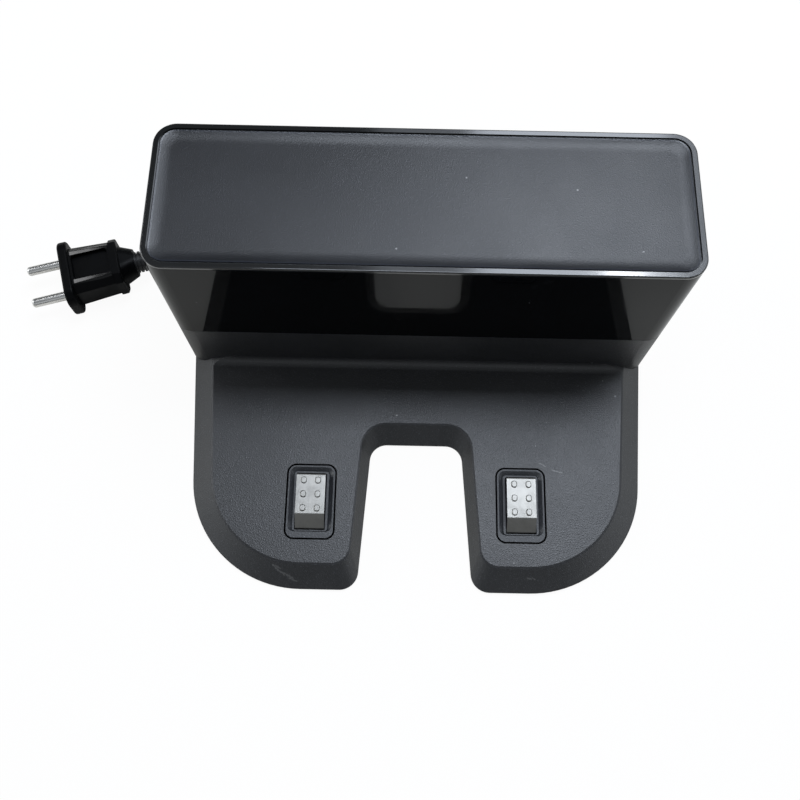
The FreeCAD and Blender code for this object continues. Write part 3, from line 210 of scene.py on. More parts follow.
def feed(tree, socket, value):
    """Links a socket to another one, or sets it to a plain value."""
    if isinstance(value, bpy.types.NodeSocket):
        tree.links.new(value, socket)
    else:
        socket.default_value = value


def put(tree, kind, settings=None, **inputs):
    """Adds a node, sets its properties, and feeds its inputs by name."""
    node = tree.nodes.new(kind)
    for key, value in (settings or {}).items():
        setattr(node, key, value)
    for key, value in inputs.items():
        feed(tree, node.inputs[key.replace("_", " ")], value)
    return node


def use(tree, group, **inputs):
    """Places a shared effect in a material."""
    return put(tree, "ShaderNodeGroup", {"node_tree": group}, **inputs)


def sums(tree, operation, first, second=None, third=None, clamp=False):
    """A Math node on numbers or sockets; gives its result."""
    node = put(tree, "ShaderNodeMath", {"operation": operation, "use_clamp": clamp})
    for slot, value in enumerate((first, second, third)):
        if value is not None:
            feed(tree, node.inputs[slot], value)
    return node.outputs[0]


def times(tree, first, second):
    """The product of two numbers or sockets."""
    return sums(tree, "MULTIPLY", first, second)


def ramp(tree, value, low, high, start=0.0, end=1.0):
    """Maps a value smoothly from one span to another, kept inside it."""
    node = put(tree, "ShaderNodeMapRange", {"interpolation_type": "SMOOTHSTEP"}, Value=value, From_Min=low,
               From_Max=high, To_Min=start, To_Max=end)
    return node.outputs["Result"]


def blend(tree, share, first, second):
    """Mixes two colours, each a socket or three numbers."""
    node = put(tree, "ShaderNodeMix", {"data_type": "RGBA", "clamp_factor": True})
    feed(tree, node.inputs[MIX_SHARE], share)
    for slot, value in ((MIX_FIRST, first), (MIX_SECOND, second)):
        feed(tree, node.inputs[slot], value if isinstance(value, bpy.types.NodeSocket) else (*value, 1.0))
    return node.outputs[MIX_RESULT]


def between(tree, value, rise, fall):
    """One inside a span whose ends rise and fall over the two pairs given, and nothing outside it."""
    return times(tree, ramp(tree, value, *rise), ramp(tree, value, *fall))


def mix_shaders(tree, share, first, second):
    """Mixes two shaders; gives the result."""
    node = tree.nodes.new("ShaderNodeMixShader")
    for slot, value in enumerate((share, first, second)):
        tree.links.new(value, node.inputs[slot])
    return node.outputs[0]


# Shared effects


def shared(make):
    """Builds an effect's node group once, under the name of its function, and gives it back after that."""

    def given():
        name = make.__name__
        return bpy.data.node_groups.get(name) or make(name)

    return given


@shared
def moulded_grain(name):
    """Spark-eroded mould grain: a fine height, painted glints as bright specks on its tops, and slow clouds.
    """
    tree, entry, leave = group_tree(
        name,
        [("Vector", VECTOR, None), ("Scale", FLOAT, 1100.0)],
        [("Height", FLOAT), ("Painted Glints", FLOAT), ("Clouds", FLOAT)])
    place = entry.outputs["Vector"]
    scale = entry.outputs["Scale"]
    fine_scale = 1.1
    cloud_scale = 0.018
    fine_share = 0.65
    pebbles = put(tree, "ShaderNodeTexVoronoi", {"feature": "SMOOTH_F1"}, Vector=place, Scale=scale,
                  Smoothness=0.6, Randomness=1.0)
    fine = put(tree, "ShaderNodeTexNoise", Vector=place, Scale=times(tree, scale, fine_scale),
               Detail=2.0, Roughness=0.6)
    slow = put(tree, "ShaderNodeTexNoise", Vector=place, Scale=times(tree, scale, cloud_scale),
               Detail=3.0, Roughness=0.55)
    tops = ramp(tree, pebbles.outputs["Distance"], 0.55, 0.05)
    height = sums(tree, "ADD", times(tree, tops, 1 - fine_share),
                  times(tree, fine.outputs["Fac"], fine_share))
    # painted glints: bright specks on the grain's tops, standing for light catching them
    specks = times(tree, ramp(tree, fine.outputs["Fac"], 0.52, 0.62), tops)
    tree.links.new(height, leave.inputs["Height"])
    tree.links.new(specks, leave.inputs["Painted Glints"])
    tree.links.new(ramp(tree, slow.outputs["Fac"], 0.3, 0.7), leave.inputs["Clouds"])
    return tree


# turn and squeeze of each set of scratches, their width in the noise, and how they are broken up
SCRATCH_RUNS = ((0.5, 26.0), (2.3, 34.0))
SCRATCH_WIDTH = 0.012
SCRATCH_BREAKS = 0.9
SCRATCH_KEPT = (0.62, 0.7)


@shared
def dust_and_marks(name):
    """Loose dust grains, and short fine scratches in a few directions."""
    tree, entry, leave = group_tree(
        name,
        [("Vector", VECTOR, None), ("Dust Scale", FLOAT, 160.0),
         ("Dust Share", FLOAT, 0.2), ("Scratch Scale", FLOAT, 60.0)],
        [("Dust", FLOAT), ("Scratches", FLOAT)])
    place = entry.outputs["Vector"]
    grains = put(tree, "ShaderNodeTexVoronoi", {"feature": "F1"}, Vector=place,
                 Scale=entry.outputs["Dust Scale"], Randomness=1.0)
    pick = put(tree, "ShaderNodeSeparateColor", Color=grains.outputs["Color"])
    chosen = sums(tree, "LESS_THAN", pick.outputs["Red"], entry.outputs["Dust Share"])
    least = 0.02
    spread = 0.07
    width = sums(tree, "MULTIPLY_ADD", pick.outputs["Green"], spread, least)
    near = sums(tree, "LESS_THAN", grains.outputs["Distance"], width)
    tree.links.new(times(tree, chosen, near), leave.inputs["Dust"])
    marks = None
    for turn, squeeze in SCRATCH_RUNS:
        along = put(tree, "ShaderNodeMapping", {"vector_type": "POINT"}, Vector=place)
        along.inputs["Rotation"].default_value = (0.0, 0.0, turn)
        along.inputs["Scale"].default_value = (1.0, squeeze, squeeze)
        lines = put(tree, "ShaderNodeTexNoise", Vector=along.outputs["Vector"],
                    Scale=entry.outputs["Scratch Scale"], Detail=1.0)
        off_line = sums(tree, "ABSOLUTE", sums(tree, "SUBTRACT", lines.outputs["Fac"], 0.5))
        thin = ramp(tree, off_line, SCRATCH_WIDTH, 0.0)
        gate = put(tree, "ShaderNodeTexNoise", Vector=place, Detail=1.0,
                   Scale=times(tree, entry.outputs["Scratch Scale"], SCRATCH_BREAKS))
        kept = times(tree, thin, ramp(tree, gate.outputs["Fac"], *SCRATCH_KEPT))
        marks = kept if marks is None else sums(tree, "MAXIMUM", marks, kept)
    tree.links.new(marks, leave.inputs["Scratches"])
    return tree


@shared
def smudges(name):
    """Slow uneven handling marks, as a value round one half."""
    tree, entry, leave = group_tree(
        name, [("Vector", VECTOR, None), ("Scale", FLOAT, 30.0)],
        [("Smudge", FLOAT)])
    wide = put(tree, "ShaderNodeTexNoise", Vector=entry.outputs["Vector"], Scale=entry.outputs["Scale"],
               Detail=4.0, Roughness=0.6, Distortion=0.6)
    tree.links.new(wide.outputs["Fac"], leave.inputs["Smudge"])
    return tree


@shared
def frame_distance(name):
    """Distance outside a rounded frame line in plan, less than nothing inside it."""
    tree, entry, leave = group_tree(
        name,
        [("Vector", VECTOR, None), ("Half Width", FLOAT, 0.1),
         ("Half Depth", FLOAT, 0.03), ("Middle", FLOAT, 0.0),
         ("Corner", FLOAT, 0.007)],
        [("Distance", FLOAT)])
    split = put(tree, "ShaderNodeSeparateXYZ", Vector=entry.outputs["Vector"])
    corner = entry.outputs["Corner"]
    across = sums(tree, "ABSOLUTE", split.outputs["X"])
    across = sums(tree, "SUBTRACT", across, sums(tree, "SUBTRACT", entry.outputs["Half Width"], corner))
    along = sums(tree, "ABSOLUTE", sums(tree, "SUBTRACT", split.outputs["Y"], entry.outputs["Middle"]))
    along = sums(tree, "SUBTRACT", along, sums(tree, "SUBTRACT", entry.outputs["Half Depth"], corner))
    beyond = put(tree, "ShaderNodeCombineXYZ", X=sums(tree, "MAXIMUM", across, 0.0),
                 Y=sums(tree, "MAXIMUM", along, 0.0))
    reach = put(tree, "ShaderNodeVectorMath", {"operation": "LENGTH"})
    tree.links.new(beyond.outputs["Vector"], reach.inputs[0])
    within = sums(tree, "MINIMUM", sums(tree, "MAXIMUM", across, along), 0.0)
    total = sums(tree, "SUBTRACT", sums(tree, "ADD", reach.outputs["Value"], within), corner)
    tree.links.new(total, leave.inputs["Distance"])
    return tree


@shared
def single_mark(name):
    """One scratch or scuff seen in plan, from a start to an end, broken up along its length."""
    tree, entry, leave = group_tree(
        name,
        [("Vector", VECTOR, None), ("Start", VECTOR, None),
         ("End", VECTOR, None), ("Width", FLOAT, 0.0003)],
        [("Mark", FLOAT)])

    def vectors(operation, first, second):
        node = put(tree, "ShaderNodeVectorMath", {"operation": operation})
        feed(tree, node.inputs[0], first)
        feed(tree, node.inputs[1], second)
        return node

    plan = vectors("MULTIPLY", entry.outputs["Vector"], (1.0, 1.0, 0.0)).outputs["Vector"]
    run = vectors("SUBTRACT", entry.outputs["End"], entry.outputs["Start"]).outputs["Vector"]
    off = vectors("SUBTRACT", plan, entry.outputs["Start"]).outputs["Vector"]
    share = sums(tree, "DIVIDE", vectors("DOT_PRODUCT", off, run).outputs["Value"],
                 vectors("DOT_PRODUCT", run, run).outputs["Value"], clamp=True)
    foot = put(tree, "ShaderNodeVectorMath", {"operation": "SCALE"}, Scale=share)
    tree.links.new(run, foot.inputs[0])
    gap = vectors("DISTANCE", off, foot.outputs["Vector"]).outputs["Value"]
    uneven = put(tree, "ShaderNodeTexNoise", Vector=entry.outputs["Vector"], Scale=900.0, Detail=2.0)
    edge = times(tree, entry.outputs["Width"], ramp(tree, uneven.outputs["Fac"], 0.3, 0.7, 0.4, 1.5))
    tree.links.new(ramp(tree, sums(tree, "DIVIDE", gap, edge), 1.0, 0.4), leave.inputs["Mark"])
    return tree


# Finishes

# shades, shares and changes of roughness of the plastic's clouds, painted glints on the grain, scratches,
# dust and marks
CLOUD_SPREAD = 0.14
CLOUD_ROUGH = 0.05
PAINTED_GLINT_SHADE = 7.0
GLINT_GLOSS = 0.14
SCRATCH_SHADE = 4.0
SCRATCH_SHARE = 0.35
DUST_COLOUR = (0.22, 0.22, 0.22)
DUST_SHARE = 0.8
MARK_SHARE = 0.85
# heights between which the marks on top fade out towards the underside
UNDERSIDE = (0.0024, 0.0030)
# the lid's polished rim: its outline in plan, the edge of the polish, and its finish
LID_RIM = {"Half_Width": 0.11465, "Half_Depth": 0.03215, "Middle": 0.05725, "Corner": 0.00715}
RIM_EDGE = (-0.0001, 0.0001)
RIM_COLOUR = (0.004, 0.0045, 0.005)
RIM_ROUGH = 0.09
RIM_COAT = 0.5
RIM_COAT_ROUGH = 0.10
# the painted highlight inside the rim, a lighter line standing for its rounded edge catching the light: where
# it rises and falls, and its finish
EDGE_HIGHLIGHT_LINE = ((-0.0012, -0.0009), (-0.0003, -0.0005))
EDGE_HIGHLIGHT_SHADE = 5.0
EDGE_HIGHLIGHT_SHARE = 0.5
EDGE_HIGHLIGHT_GLOSS = 0.12
# outline of the holes round the contact bezels, and the painted shade along it: a black line standing for the
# shadow in the gap
CONTACT_OFFSET = 0.051
BEZEL_GAP = {"Half_Width": 0.01195, "Half_Depth": 0.01845, "Middle": -0.05135, "Corner": 0.00445}
GAP_SHADE_LINE = ((-0.0007, -0.0005), (0.0004, 0.0002))
GAP_SHADE_COLOUR = (0.001, 0.001, 0.001)
# place and turn of the plug, and in its own axes the polished rails beside the hollow of its grip
PLUG_PLACE = (-0.1858, 0.0652, 0.011)
PLUG_YAW = math.radians(16.5)
RAIL_ACROSS = ((0.0071, 0.0074), (0.0100, 0.0097))
RAIL_ALONG = ((0.0058, 0.0064), (0.0256, 0.0250))
RAIL_LEVEL = (0.0088, 0.0092)
RAIL_ROUGH = 0.08
RAIL_COAT = 0.35


def new_finish(name):
    """A material with only its output, its shader and Object coordinates."""
    material = bpy.data.materials.new(name)
    tree, surface = bare_tree(material, "ShaderNodeOutputMaterial")
    shader = tree.nodes.new("ShaderNodeBsdfPrincipled")
    tree.links.new(shader.outputs["BSDF"], surface)
    place = tree.nodes.new("ShaderNodeTexCoord").outputs["Object"]
    return material, tree, shader, place


def raise_grain(tree, shader, height, distance):
    """Lets a height tilt the shader's surface."""
    bump = put(tree, "ShaderNodeBump", Strength=1.0, Distance=distance, Height=height)
    tree.links.new(bump.outputs["Normal"], shader.inputs["Normal"])


def scaled(colour, factor):
    """A colour made lighter or darker."""
    return tuple(min(1.0, channel * factor) for channel in colour)


def moulded_plastic(name, colour, rough, grain_scale, depth, dust=0.5, specks=0.6, marked=(), rim=None,
                    gap=None, reflection=0.6):
    """Grained moulded plastic with clouded tone and painted glints, dust and fine marks, and, if asked, a
    polished rim with a painted highlight line inside it, and painted shade along the bezel gaps.
    """
    material, tree, shader, place = new_finish(name)
    shader.inputs["Specular IOR Level"].default_value = reflection
    grain = use(tree, moulded_grain(), Vector=place, Scale=grain_scale)
    marks = use(tree, dust_and_marks(), Vector=place, Dust_Scale=170.0, Dust_Share=0.10 * dust,
                Scratch_Scale=42.0)
    tone = blend(tree, grain.outputs["Clouds"], scaled(colour, 1 - CLOUD_SPREAD),
                 scaled(colour, 1 + CLOUD_SPREAD))
    # painted glints: the grain's tops made much lighter, as if catching the light
    tone = blend(tree, times(tree, grain.outputs["Painted Glints"], specks), tone, scaled(colour, PAINTED_GLINT_SHADE))
    tone = blend(tree, times(tree, marks.outputs["Scratches"], SCRATCH_SHARE * dust), tone,
                 scaled(colour, SCRATCH_SHADE))
    tone = blend(tree, times(tree, marks.outputs["Dust"], DUST_SHARE), tone, DUST_COLOUR)
    above = ramp(tree, put(tree, "ShaderNodeSeparateXYZ", Vector=place).outputs["Z"], *UNDERSIDE)
    for start, end, width, shade in marked:
        spot = use(tree, single_mark(), Vector=place, Start=(*start, 0.0), End=(*end, 0.0), Width=width)
        seen = times(tree, spot.outputs["Mark"], above)
        tone = blend(tree, times(tree, seen, MARK_SHARE), tone, (shade, shade, shade))
    sheen = sums(tree, "MULTIPLY_ADD", grain.outputs["Painted Glints"], -GLINT_GLOSS, rough)
    sheen = sums(tree, "MULTIPLY_ADD", grain.outputs["Clouds"], CLOUD_ROUGH, sheen, clamp=True)
    height = grain.outputs["Height"]
    if rim is not None:
        ring = use(tree, frame_distance(), Vector=place, **rim).outputs["Distance"]
        polish = ramp(tree, ring, *RIM_EDGE)
        # painted highlight: a lighter, glossier line just inside the rim
        edge_highlight = between(tree, ring, *EDGE_HIGHLIGHT_LINE)
        tone = blend(tree, times(tree, edge_highlight, EDGE_HIGHLIGHT_SHARE), tone, scaled(colour, EDGE_HIGHLIGHT_SHADE))
        sheen = sums(tree, "MULTIPLY_ADD", edge_highlight, -EDGE_HIGHLIGHT_GLOSS, sheen, clamp=True)
        tone = blend(tree, polish, tone, RIM_COLOUR)
        sheen = sums(tree, "MULTIPLY_ADD", polish, RIM_ROUGH - rough, sheen, clamp=True)
        height = times(tree, height, sums(tree, "SUBTRACT", 1.0, polish))
        shader.inputs["Coat Roughness"].default_value = RIM_COAT_ROUGH
        tree.links.new(times(tree, polish, RIM_COAT), shader.inputs["Coat Weight"])
    if gap is not None:
        split = put(tree, "ShaderNodeSeparateXYZ", Vector=place)
        across = sums(tree, "SUBTRACT", sums(tree, "ABSOLUTE", split.outputs["X"]), CONTACT_OFFSET)
        paired = put(tree, "ShaderNodeCombineXYZ", X=across, Y=split.outputs["Y"])
        edge = use(tree, frame_distance(), Vector=paired.outputs["Vector"], **gap).outputs["Distance"]
        # painted shade: a black line along the bezel gaps, made metallic so that it shows no sheen
        gap_shade = times(tree, between(tree, edge, *GAP_SHADE_LINE), above)
        tone = blend(tree, gap_shade, tone, GAP_SHADE_COLOUR)
        tree.links.new(gap_shade, shader.inputs["Metallic"])
    tree.links.new(tone, shader.inputs["Base Color"])
    tree.links.new(sheen, shader.inputs["Roughness"])
    raise_grain(tree, shader, height, depth)
    return material


def gloss_window(name, colour, lean=0.0):
    """Smooth infrared plastic: near black, with faint wiped smudges and dust, and a slight lean if asked."""
    material, tree, shader, place = new_finish(name)
    reflection = 0.14
    dust_colour = (0.12, 0.12, 0.12)
    dust_share = 0.6
    clean_rough = 0.035
    wiped_rough = 0.10
    scratch_rough = 0.12
    shader.inputs["Specular IOR Level"].default_value = reflection
    wiped = use(tree, smudges(), Vector=place, Scale=28.0)
    marks = use(tree, dust_and_marks(), Vector=place, Dust_Scale=150.0, Dust_Share=0.05, Scratch_Scale=55.0)
    tone = blend(tree, wiped.outputs["Smudge"], scaled(colour, 0.7), scaled(colour, 1.5))
    tone = blend(tree, times(tree, marks.outputs["Dust"], dust_share), tone, dust_colour)
    tree.links.new(tone, shader.inputs["Base Color"])
    rough = ramp(tree, wiped.outputs["Smudge"], 0.3, 0.75, clean_rough, wiped_rough)
    rough = sums(tree, "MULTIPLY_ADD", marks.outputs["Scratches"], scratch_rough, rough)
    tree.links.new(rough, shader.inputs["Roughness"])
    height = put(tree, "ShaderNodeSeparateXYZ", Vector=place).outputs["Z"]
    raise_grain(tree, shader, times(tree, height, -lean), 1.0)
    return material


def brushed_metal(name, colour, rough, grain=900.0):
    """Plated or drawn metal with fine rolling lines and dull patches."""
    material, tree, shader, place = new_finish(name)
    tarnish = 0.25
    streak_rough = 0.12
    dull_rough = 0.10
    line_height = 0.00001
    lines = put(tree, "ShaderNodeMapping", Vector=place)
    lines.inputs["Scale"].default_value = (1.0, 0.06, 1.0)
    streaks = put(tree, "ShaderNodeTexNoise", Vector=lines.outputs["Vector"], Scale=grain, Detail=3.0,
                  Roughness=0.65)
    dull = use(tree, smudges(), Vector=place, Scale=160.0)
    share = times(tree, ramp(tree, dull.outputs["Smudge"], 0.45, 0.7), tarnish)
    tone = blend(tree, streaks.outputs["Fac"], scaled(colour, 0.90), scaled(colour, 1.08))
    tone = blend(tree, share, tone, scaled(colour, 0.55))
    tree.links.new(tone, shader.inputs["Base Color"])
    sheen = sums(tree, "MULTIPLY_ADD", streaks.outputs["Fac"], streak_rough, rough - streak_rough / 2)
    sheen = sums(tree, "MULTIPLY_ADD", dull.outputs["Smudge"], dull_rough, sheen)
    tree.links.new(sheen, shader.inputs["Roughness"])
    shader.inputs["Metallic"].default_value = 1.0
    raise_grain(tree, shader, streaks.outputs["Fac"], line_height)
    return material


def lead_rubber(name, colour, rough, pitting=0.00003, reflection=0.5, rails=False):
    """Vinyl and rubber of the lead, plug and feet: dull, slightly pitted, with polished rails if asked."""
    material, tree, shader, place = new_finish(name)
    shader.inputs["Specular IOR Level"].default_value = reflection
    grain = use(tree, moulded_grain(), Vector=place, Scale=1600.0)
    wiped = use(tree, smudges(), Vector=place, Scale=90.0)
    tone = blend(tree, wiped.outputs["Smudge"], scaled(colour, 0.75), scaled(colour, 1.5))
    # painted glints: the grain's tops made lighter, as if catching the light
    tone = blend(tree, times(tree, grain.outputs["Painted Glints"], 0.25), tone, scaled(colour, 5.0))
    tree.links.new(tone, shader.inputs["Base Color"])
    sheen = ramp(tree, wiped.outputs["Smudge"], 0.3, 0.7, rough * 0.8, rough * 1.2)
    if rails:
        own = put(tree, "ShaderNodeMapping", {"vector_type": "TEXTURE"}, Vector=place, Location=PLUG_PLACE,
                  Rotation=(0.0, 0.0, PLUG_YAW))
        split = put(tree, "ShaderNodeSeparateXYZ", Vector=own.outputs["Vector"])
        across = sums(tree, "ABSOLUTE", split.outputs["Y"])
        beside = between(tree, across, *RAIL_ACROSS)
        along = between(tree, split.outputs["X"], *RAIL_ALONG)
        top = times(tree, times(tree, beside, along), ramp(tree, split.outputs["Z"], *RAIL_LEVEL))
        sheen = sums(tree, "MULTIPLY_ADD", top, RAIL_ROUGH - rough, sheen, clamp=True)
        shader.inputs["Coat Roughness"].default_value = RAIL_ROUGH
        tree.links.new(times(tree, top, RAIL_COAT), shader.inputs["Coat Weight"])
    tree.links.new(sheen, shader.inputs["Roughness"])
    raise_grain(tree, shader, grain.outputs["Height"], pitting)
    return material


def board_laminate(colour):
    """Green board: glass weave under the lacquer and a pattern of tracks."""
    material, tree, shader, place = new_finish("board_laminate")
    weave = put(tree, "ShaderNodeTexChecker", Vector=place, Scale=1400.0)
    tracks = put(tree, "ShaderNodeTexBrick", Vector=place, Scale=160.0)
    tone = blend(tree, weave.outputs["Fac"], scaled(colour, 0.9), scaled(colour, 1.1))
    tone = blend(tree, times(tree, tracks.outputs["Fac"], 0.5), tone, scaled(colour, 1.9))
    tree.links.new(tone, shader.inputs["Base Color"])
    tree.links.new(ramp(tree, tracks.outputs["Fac"], 0.0, 1.0, 0.32, 0.45), shader.inputs["Roughness"])
    return material


def wound_copper(colour):
    """Lacquered copper winding, its turns as fine ridges, with painted shade darkening the grooves between
    them.
    """
    material, tree, shader, place = new_finish("wound_copper")
    turns = put(tree, "ShaderNodeTexWave", {"bands_direction": "Z"}, Vector=place, Scale=320.0,
                Distortion=0.4)
    # painted shade: the grooves between the turns made darker
    tone = blend(tree, turns.outputs["Fac"], scaled(colour, 0.5), scaled(colour, 1.1))
    tree.links.new(tone, shader.inputs["Base Color"])
    tree.links.new(ramp(tree, turns.outputs["Fac"], 0.0, 1.0, 0.45, 0.25), shader.inputs["Roughness"])
    shader.inputs["Metallic"].default_value = 0.8
    raise_grain(tree, shader, turns.outputs["Fac"], 0.0001)
    return material


# start, end, width and shade of marks seen in plan, in metres
SHELL_MARKS = (
    ((0.0605, -0.0299), (0.0639, -0.0318), 0.00030, 0.12),
    ((0.0668, -0.0333), (0.0717, -0.0347), 0.00035, 0.12),
    ((-0.0101, -0.0065), (-0.0099, -0.0064), 0.00045, 0.40),
    ((-0.0676, -0.0821), (-0.0652, -0.0843), 0.00060, 0.06),
    ((-0.0664, -0.0824), (-0.0640, -0.0838), 0.00045, 0.05),
    ((-0.0642, -0.0848), (-0.0621, -0.0862), 0.00050, 0.06),
    ((-0.0622, -0.0856), (-0.0580, -0.0878), 0.00060, 0.05),
    ((-0.0600, -0.0878), (-0.0563, -0.0890), 0.00045, 0.05),
    ((0.0539, -0.0858), (0.0556, -0.0862), 0.00050, 0.06),
    ((0.0560, -0.0856), (0.0574, -0.0863), 0.00040, 0.06),
)
LID_MARKS = (
    ((0.0640, 0.0670), (0.0941, 0.0832), 0.00022, 0.001),
    ((0.0905, 0.0345), (0.0911, 0.0347), 0.00035, 0.30),
)


def make_finishes():
    """Every finish of the dock, by the record's slot."""
    look = finish_set()
    shell = tuple(look.shell_colour)
    scale = 1.0 / look.grain_pitch
    depth = look.grain_depth
    dust = look.dust
    # each has a name, a colour and a roughness, and moulded ones the scale and depth of grain, and dust
    return {
        "housing": moulded_plastic("shell_plastic", shell, 0.39, scale, depth, dust, marked=SHELL_MARKS,
                                   gap=BEZEL_GAP),
        "window": gloss_window("window_gloss", tuple(look.window_colour), lean=0.038),
        "lid": moulded_plastic("lid_plastic", tuple(look.lid_colour), 0.36, scale * 1.15, depth * 0.6, dust,
                               specks=0.4, marked=LID_MARKS, rim=LID_RIM, reflection=0.48),
        "bezel": moulded_plastic("bezel_plastic", tuple(look.bezel_colour), 0.46, scale, depth, dust,
                                 gap=BEZEL_GAP),
        "contact_nickel": brushed_metal("contact_nickel", tuple(look.nickel_colour), 0.32),
        "carrier": moulded_plastic("carrier_plastic", scaled(shell, 0.8), 0.5, scale, depth, dust),
        "spring_steel": brushed_metal("spring_steel", (0.45, 0.45, 0.46), 0.28),
        "terminal_brass": brushed_metal("terminal_brass", (0.62, 0.44, 0.18), 0.3),
        "wire": lead_rubber("wire_vinyl", (0.16, 0.012, 0.010), 0.42),
        "board": board_laminate((0.012, 0.085, 0.030)),
        "emitter": gloss_window("emitter_resin", (0.05, 0.045, 0.06)),
        "screw_steel": brushed_metal("screw_steel", (0.36, 0.36, 0.37), 0.34),
        "ferrite": moulded_plastic("ferrite", (0.022, 0.021, 0.021), 0.6, scale * 1.4, depth, dust),
        "winding": wound_copper((0.48, 0.20, 0.08)),
        "capacitor": moulded_plastic("capacitor_sleeve", (0.012, 0.020, 0.045), 0.35, scale, depth * 0.3,
                                     dust),
        "block": moulded_plastic("block_nylon", (0.55, 0.53, 0.48), 0.5, scale, depth * 0.5, dust,
                                 specks=0.0),
        "foot_rubber": lead_rubber("foot_rubber", (0.020, 0.020, 0.020), 0.72),
        "cord_rubber": lead_rubber("cord_vinyl", scaled(tuple(look.plug_colour), 1.6), 0.48),
        "plug": lead_rubber("plug_vinyl", tuple(look.plug_colour), 0.42, pitting=0.000006, reflection=0.06,
                            rails=True),
        "pin_nickel": brushed_metal("pin_nickel", (0.66, 0.65, 0.63), 0.22, grain=250.0),
    }


# the finishes by slot, filled when the script runs
FINISHES = {}


def finish(slot):
    """The material of a slot."""
    material = FINISHES.get(slot)
    if material is None:
        raise RuntimeError("no finish for the slot %s" % slot)
    return material


def dress(node):
    """Gives a CAD node the finish of its slot in the record."""
    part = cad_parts[node]
    slot = part.data.materials[0].name.split(".")[0]
    part.data.materials.clear()
    part.data.materials.append(finish(slot))


# Springs


def coil_spring():
    """A round wire wound upwards about a vertical line through Place."""
    tree, entry, leave = group_tree(
        "coil_spring",
        [("Geometry", "NodeSocketGeometry", None), ("Place", VECTOR, None), ("Radius", FLOAT, None),
         ("Wire", FLOAT, None), ("Turns", FLOAT, None), ("Rise", FLOAT, None),
         ("Finish", "NodeSocketMaterial", None)],
        [("Geometry", "NodeSocketGeometry")], "GeometryNodeTree")
    line = put(tree, "GeometryNodeCurveSpiral", Resolution=36, Rotations=entry.outputs["Turns"],
               Start_Radius=entry.outputs["Radius"], End_Radius=entry.outputs["Radius"],
               Height=entry.outputs["Rise"], Reverse=True)
    section = put(tree, "GeometryNodeCurvePrimitiveCircle", Resolution=14,
                  Radius=times(tree, entry.outputs["Wire"], 0.5))
    wire = put(tree, "GeometryNodeCurveToMesh", Curve=line.outputs["Curve"],
               Profile_Curve=section.outputs["Curve"], Fill_Caps=True)
    placed = put(tree, "GeometryNodeTransform", Geometry=wire.outputs["Mesh"],
                 Translation=entry.outputs["Place"])
    smooth = put(tree, "GeometryNodeSetShadeSmooth", Geometry=placed.outputs["Geometry"])
    real = put(tree, "GeometryNodeRealizeInstances", Geometry=smooth.outputs["Geometry"])
    dressed = put(tree, "GeometryNodeSetMaterial", Geometry=real.outputs["Geometry"],
                  Material=entry.outputs["Finish"])
    tree.links.new(dressed.outputs["Geometry"], leave.inputs["Geometry"])
    return tree


def settle(context, seed, name, tree, values):
    """Runs a node group on a seed object and gives its result as one plain mesh object."""
    modifier = seed.modifiers.new(name, "NODES")
    modifier.node_group = tree
    sockets = {item.name: item.identifier for item in tree.interface.items_tree
               if item.item_type == "SOCKET" and item.in_out == "INPUT"}
    for label, value in values.items():
        modifier[sockets[label]] = value
    seed.update_tag()
    context.view_layer.update()
    shown = seed.evaluated_get(context.evaluated_depsgraph_get())
    mesh = bpy.data.meshes.new_from_object(shown)
    if not mesh.polygons:
        raise RuntimeError("%s came out empty" % name)
    mesh.name = name
    seed.modifiers.remove(modifier)
    bpy.data.objects.remove(seed)
    piece = bpy.data.objects.new(name, mesh)
    context.scene.collection.objects.link(piece)
    return piece


# Operators

# colours of the lamps
COOL = (0.82, 0.89, 1.0)
SOFT = (0.95, 0.97, 1.0)
CLEAR = (0.97, 0.98, 1.0)
# name, place, width, depth, setting of the power, share of it, and colour
LAMPS = (
    ("key_lamp", (0.30, 0.74, 1.20), 0.36, 0.56, "key_power", 1.0, COOL),
    ("key_right", (0.66, 0.74, 1.20), 0.36, 0.56, "shoulder_power", 1.4, COOL),
    ("key_left", (0.03, 0.74, 1.20), 0.18, 0.56, "shoulder_power", 0.4, COOL),
    ("top_lamp", (0.23, 0.33, 1.25), 0.96, 0.28, "top_power", 1.0, COOL),
    ("fill_lamp", (-1.1, 0.15, 0.62), 0.5, 0.5, "fill_power", 1.0, SOFT),
    ("strip_lamp", (0.440, 0.676, 1.41), 0.075, 0.12, "strip_power", 1.0, CLEAR),
    ("left_strip", (-0.554, 0.590, 1.03), 0.10, 0.10, "left_power", 1.0, CLEAR),
)
AIMED_LAMP = "fill_lamp"
LAMP_AIM = (0.0, 0.0, 0.04)
WHITE = (1.0, 1.0, 1.0, 1.0)
# light of the room by direction: where each part starts and is full, and its levels there
ROOM_COLOUR = (0.90, 0.95, 1.0, 1.0)
ROOM_ABOVE = (0.8, 1.0, 0.0, 0.30)
ABOVE_REACH = (-0.4, 0.05)
ROOM_BESIDE = (0.5, 1.0, 0.08, 1.0)
ROOM_BEHIND = (-0.2, 0.6, 0.0, 0.04)
ROOM_FRONT = (-0.3, -0.8, 0.0, 0.42)
FRONT_REACH = (0.15, 0.6)
# the floor: its half width, its colour, how nearly white the camera sees it, and its tint in gloss
FLOOR_REACH = 6.0
FLOOR_COLOUR = (0.86, 0.86, 0.86, 1.0)
FLOOR_SEEN = 0.95
FLOOR_TINT = (1.0, 0.96, 0.88)


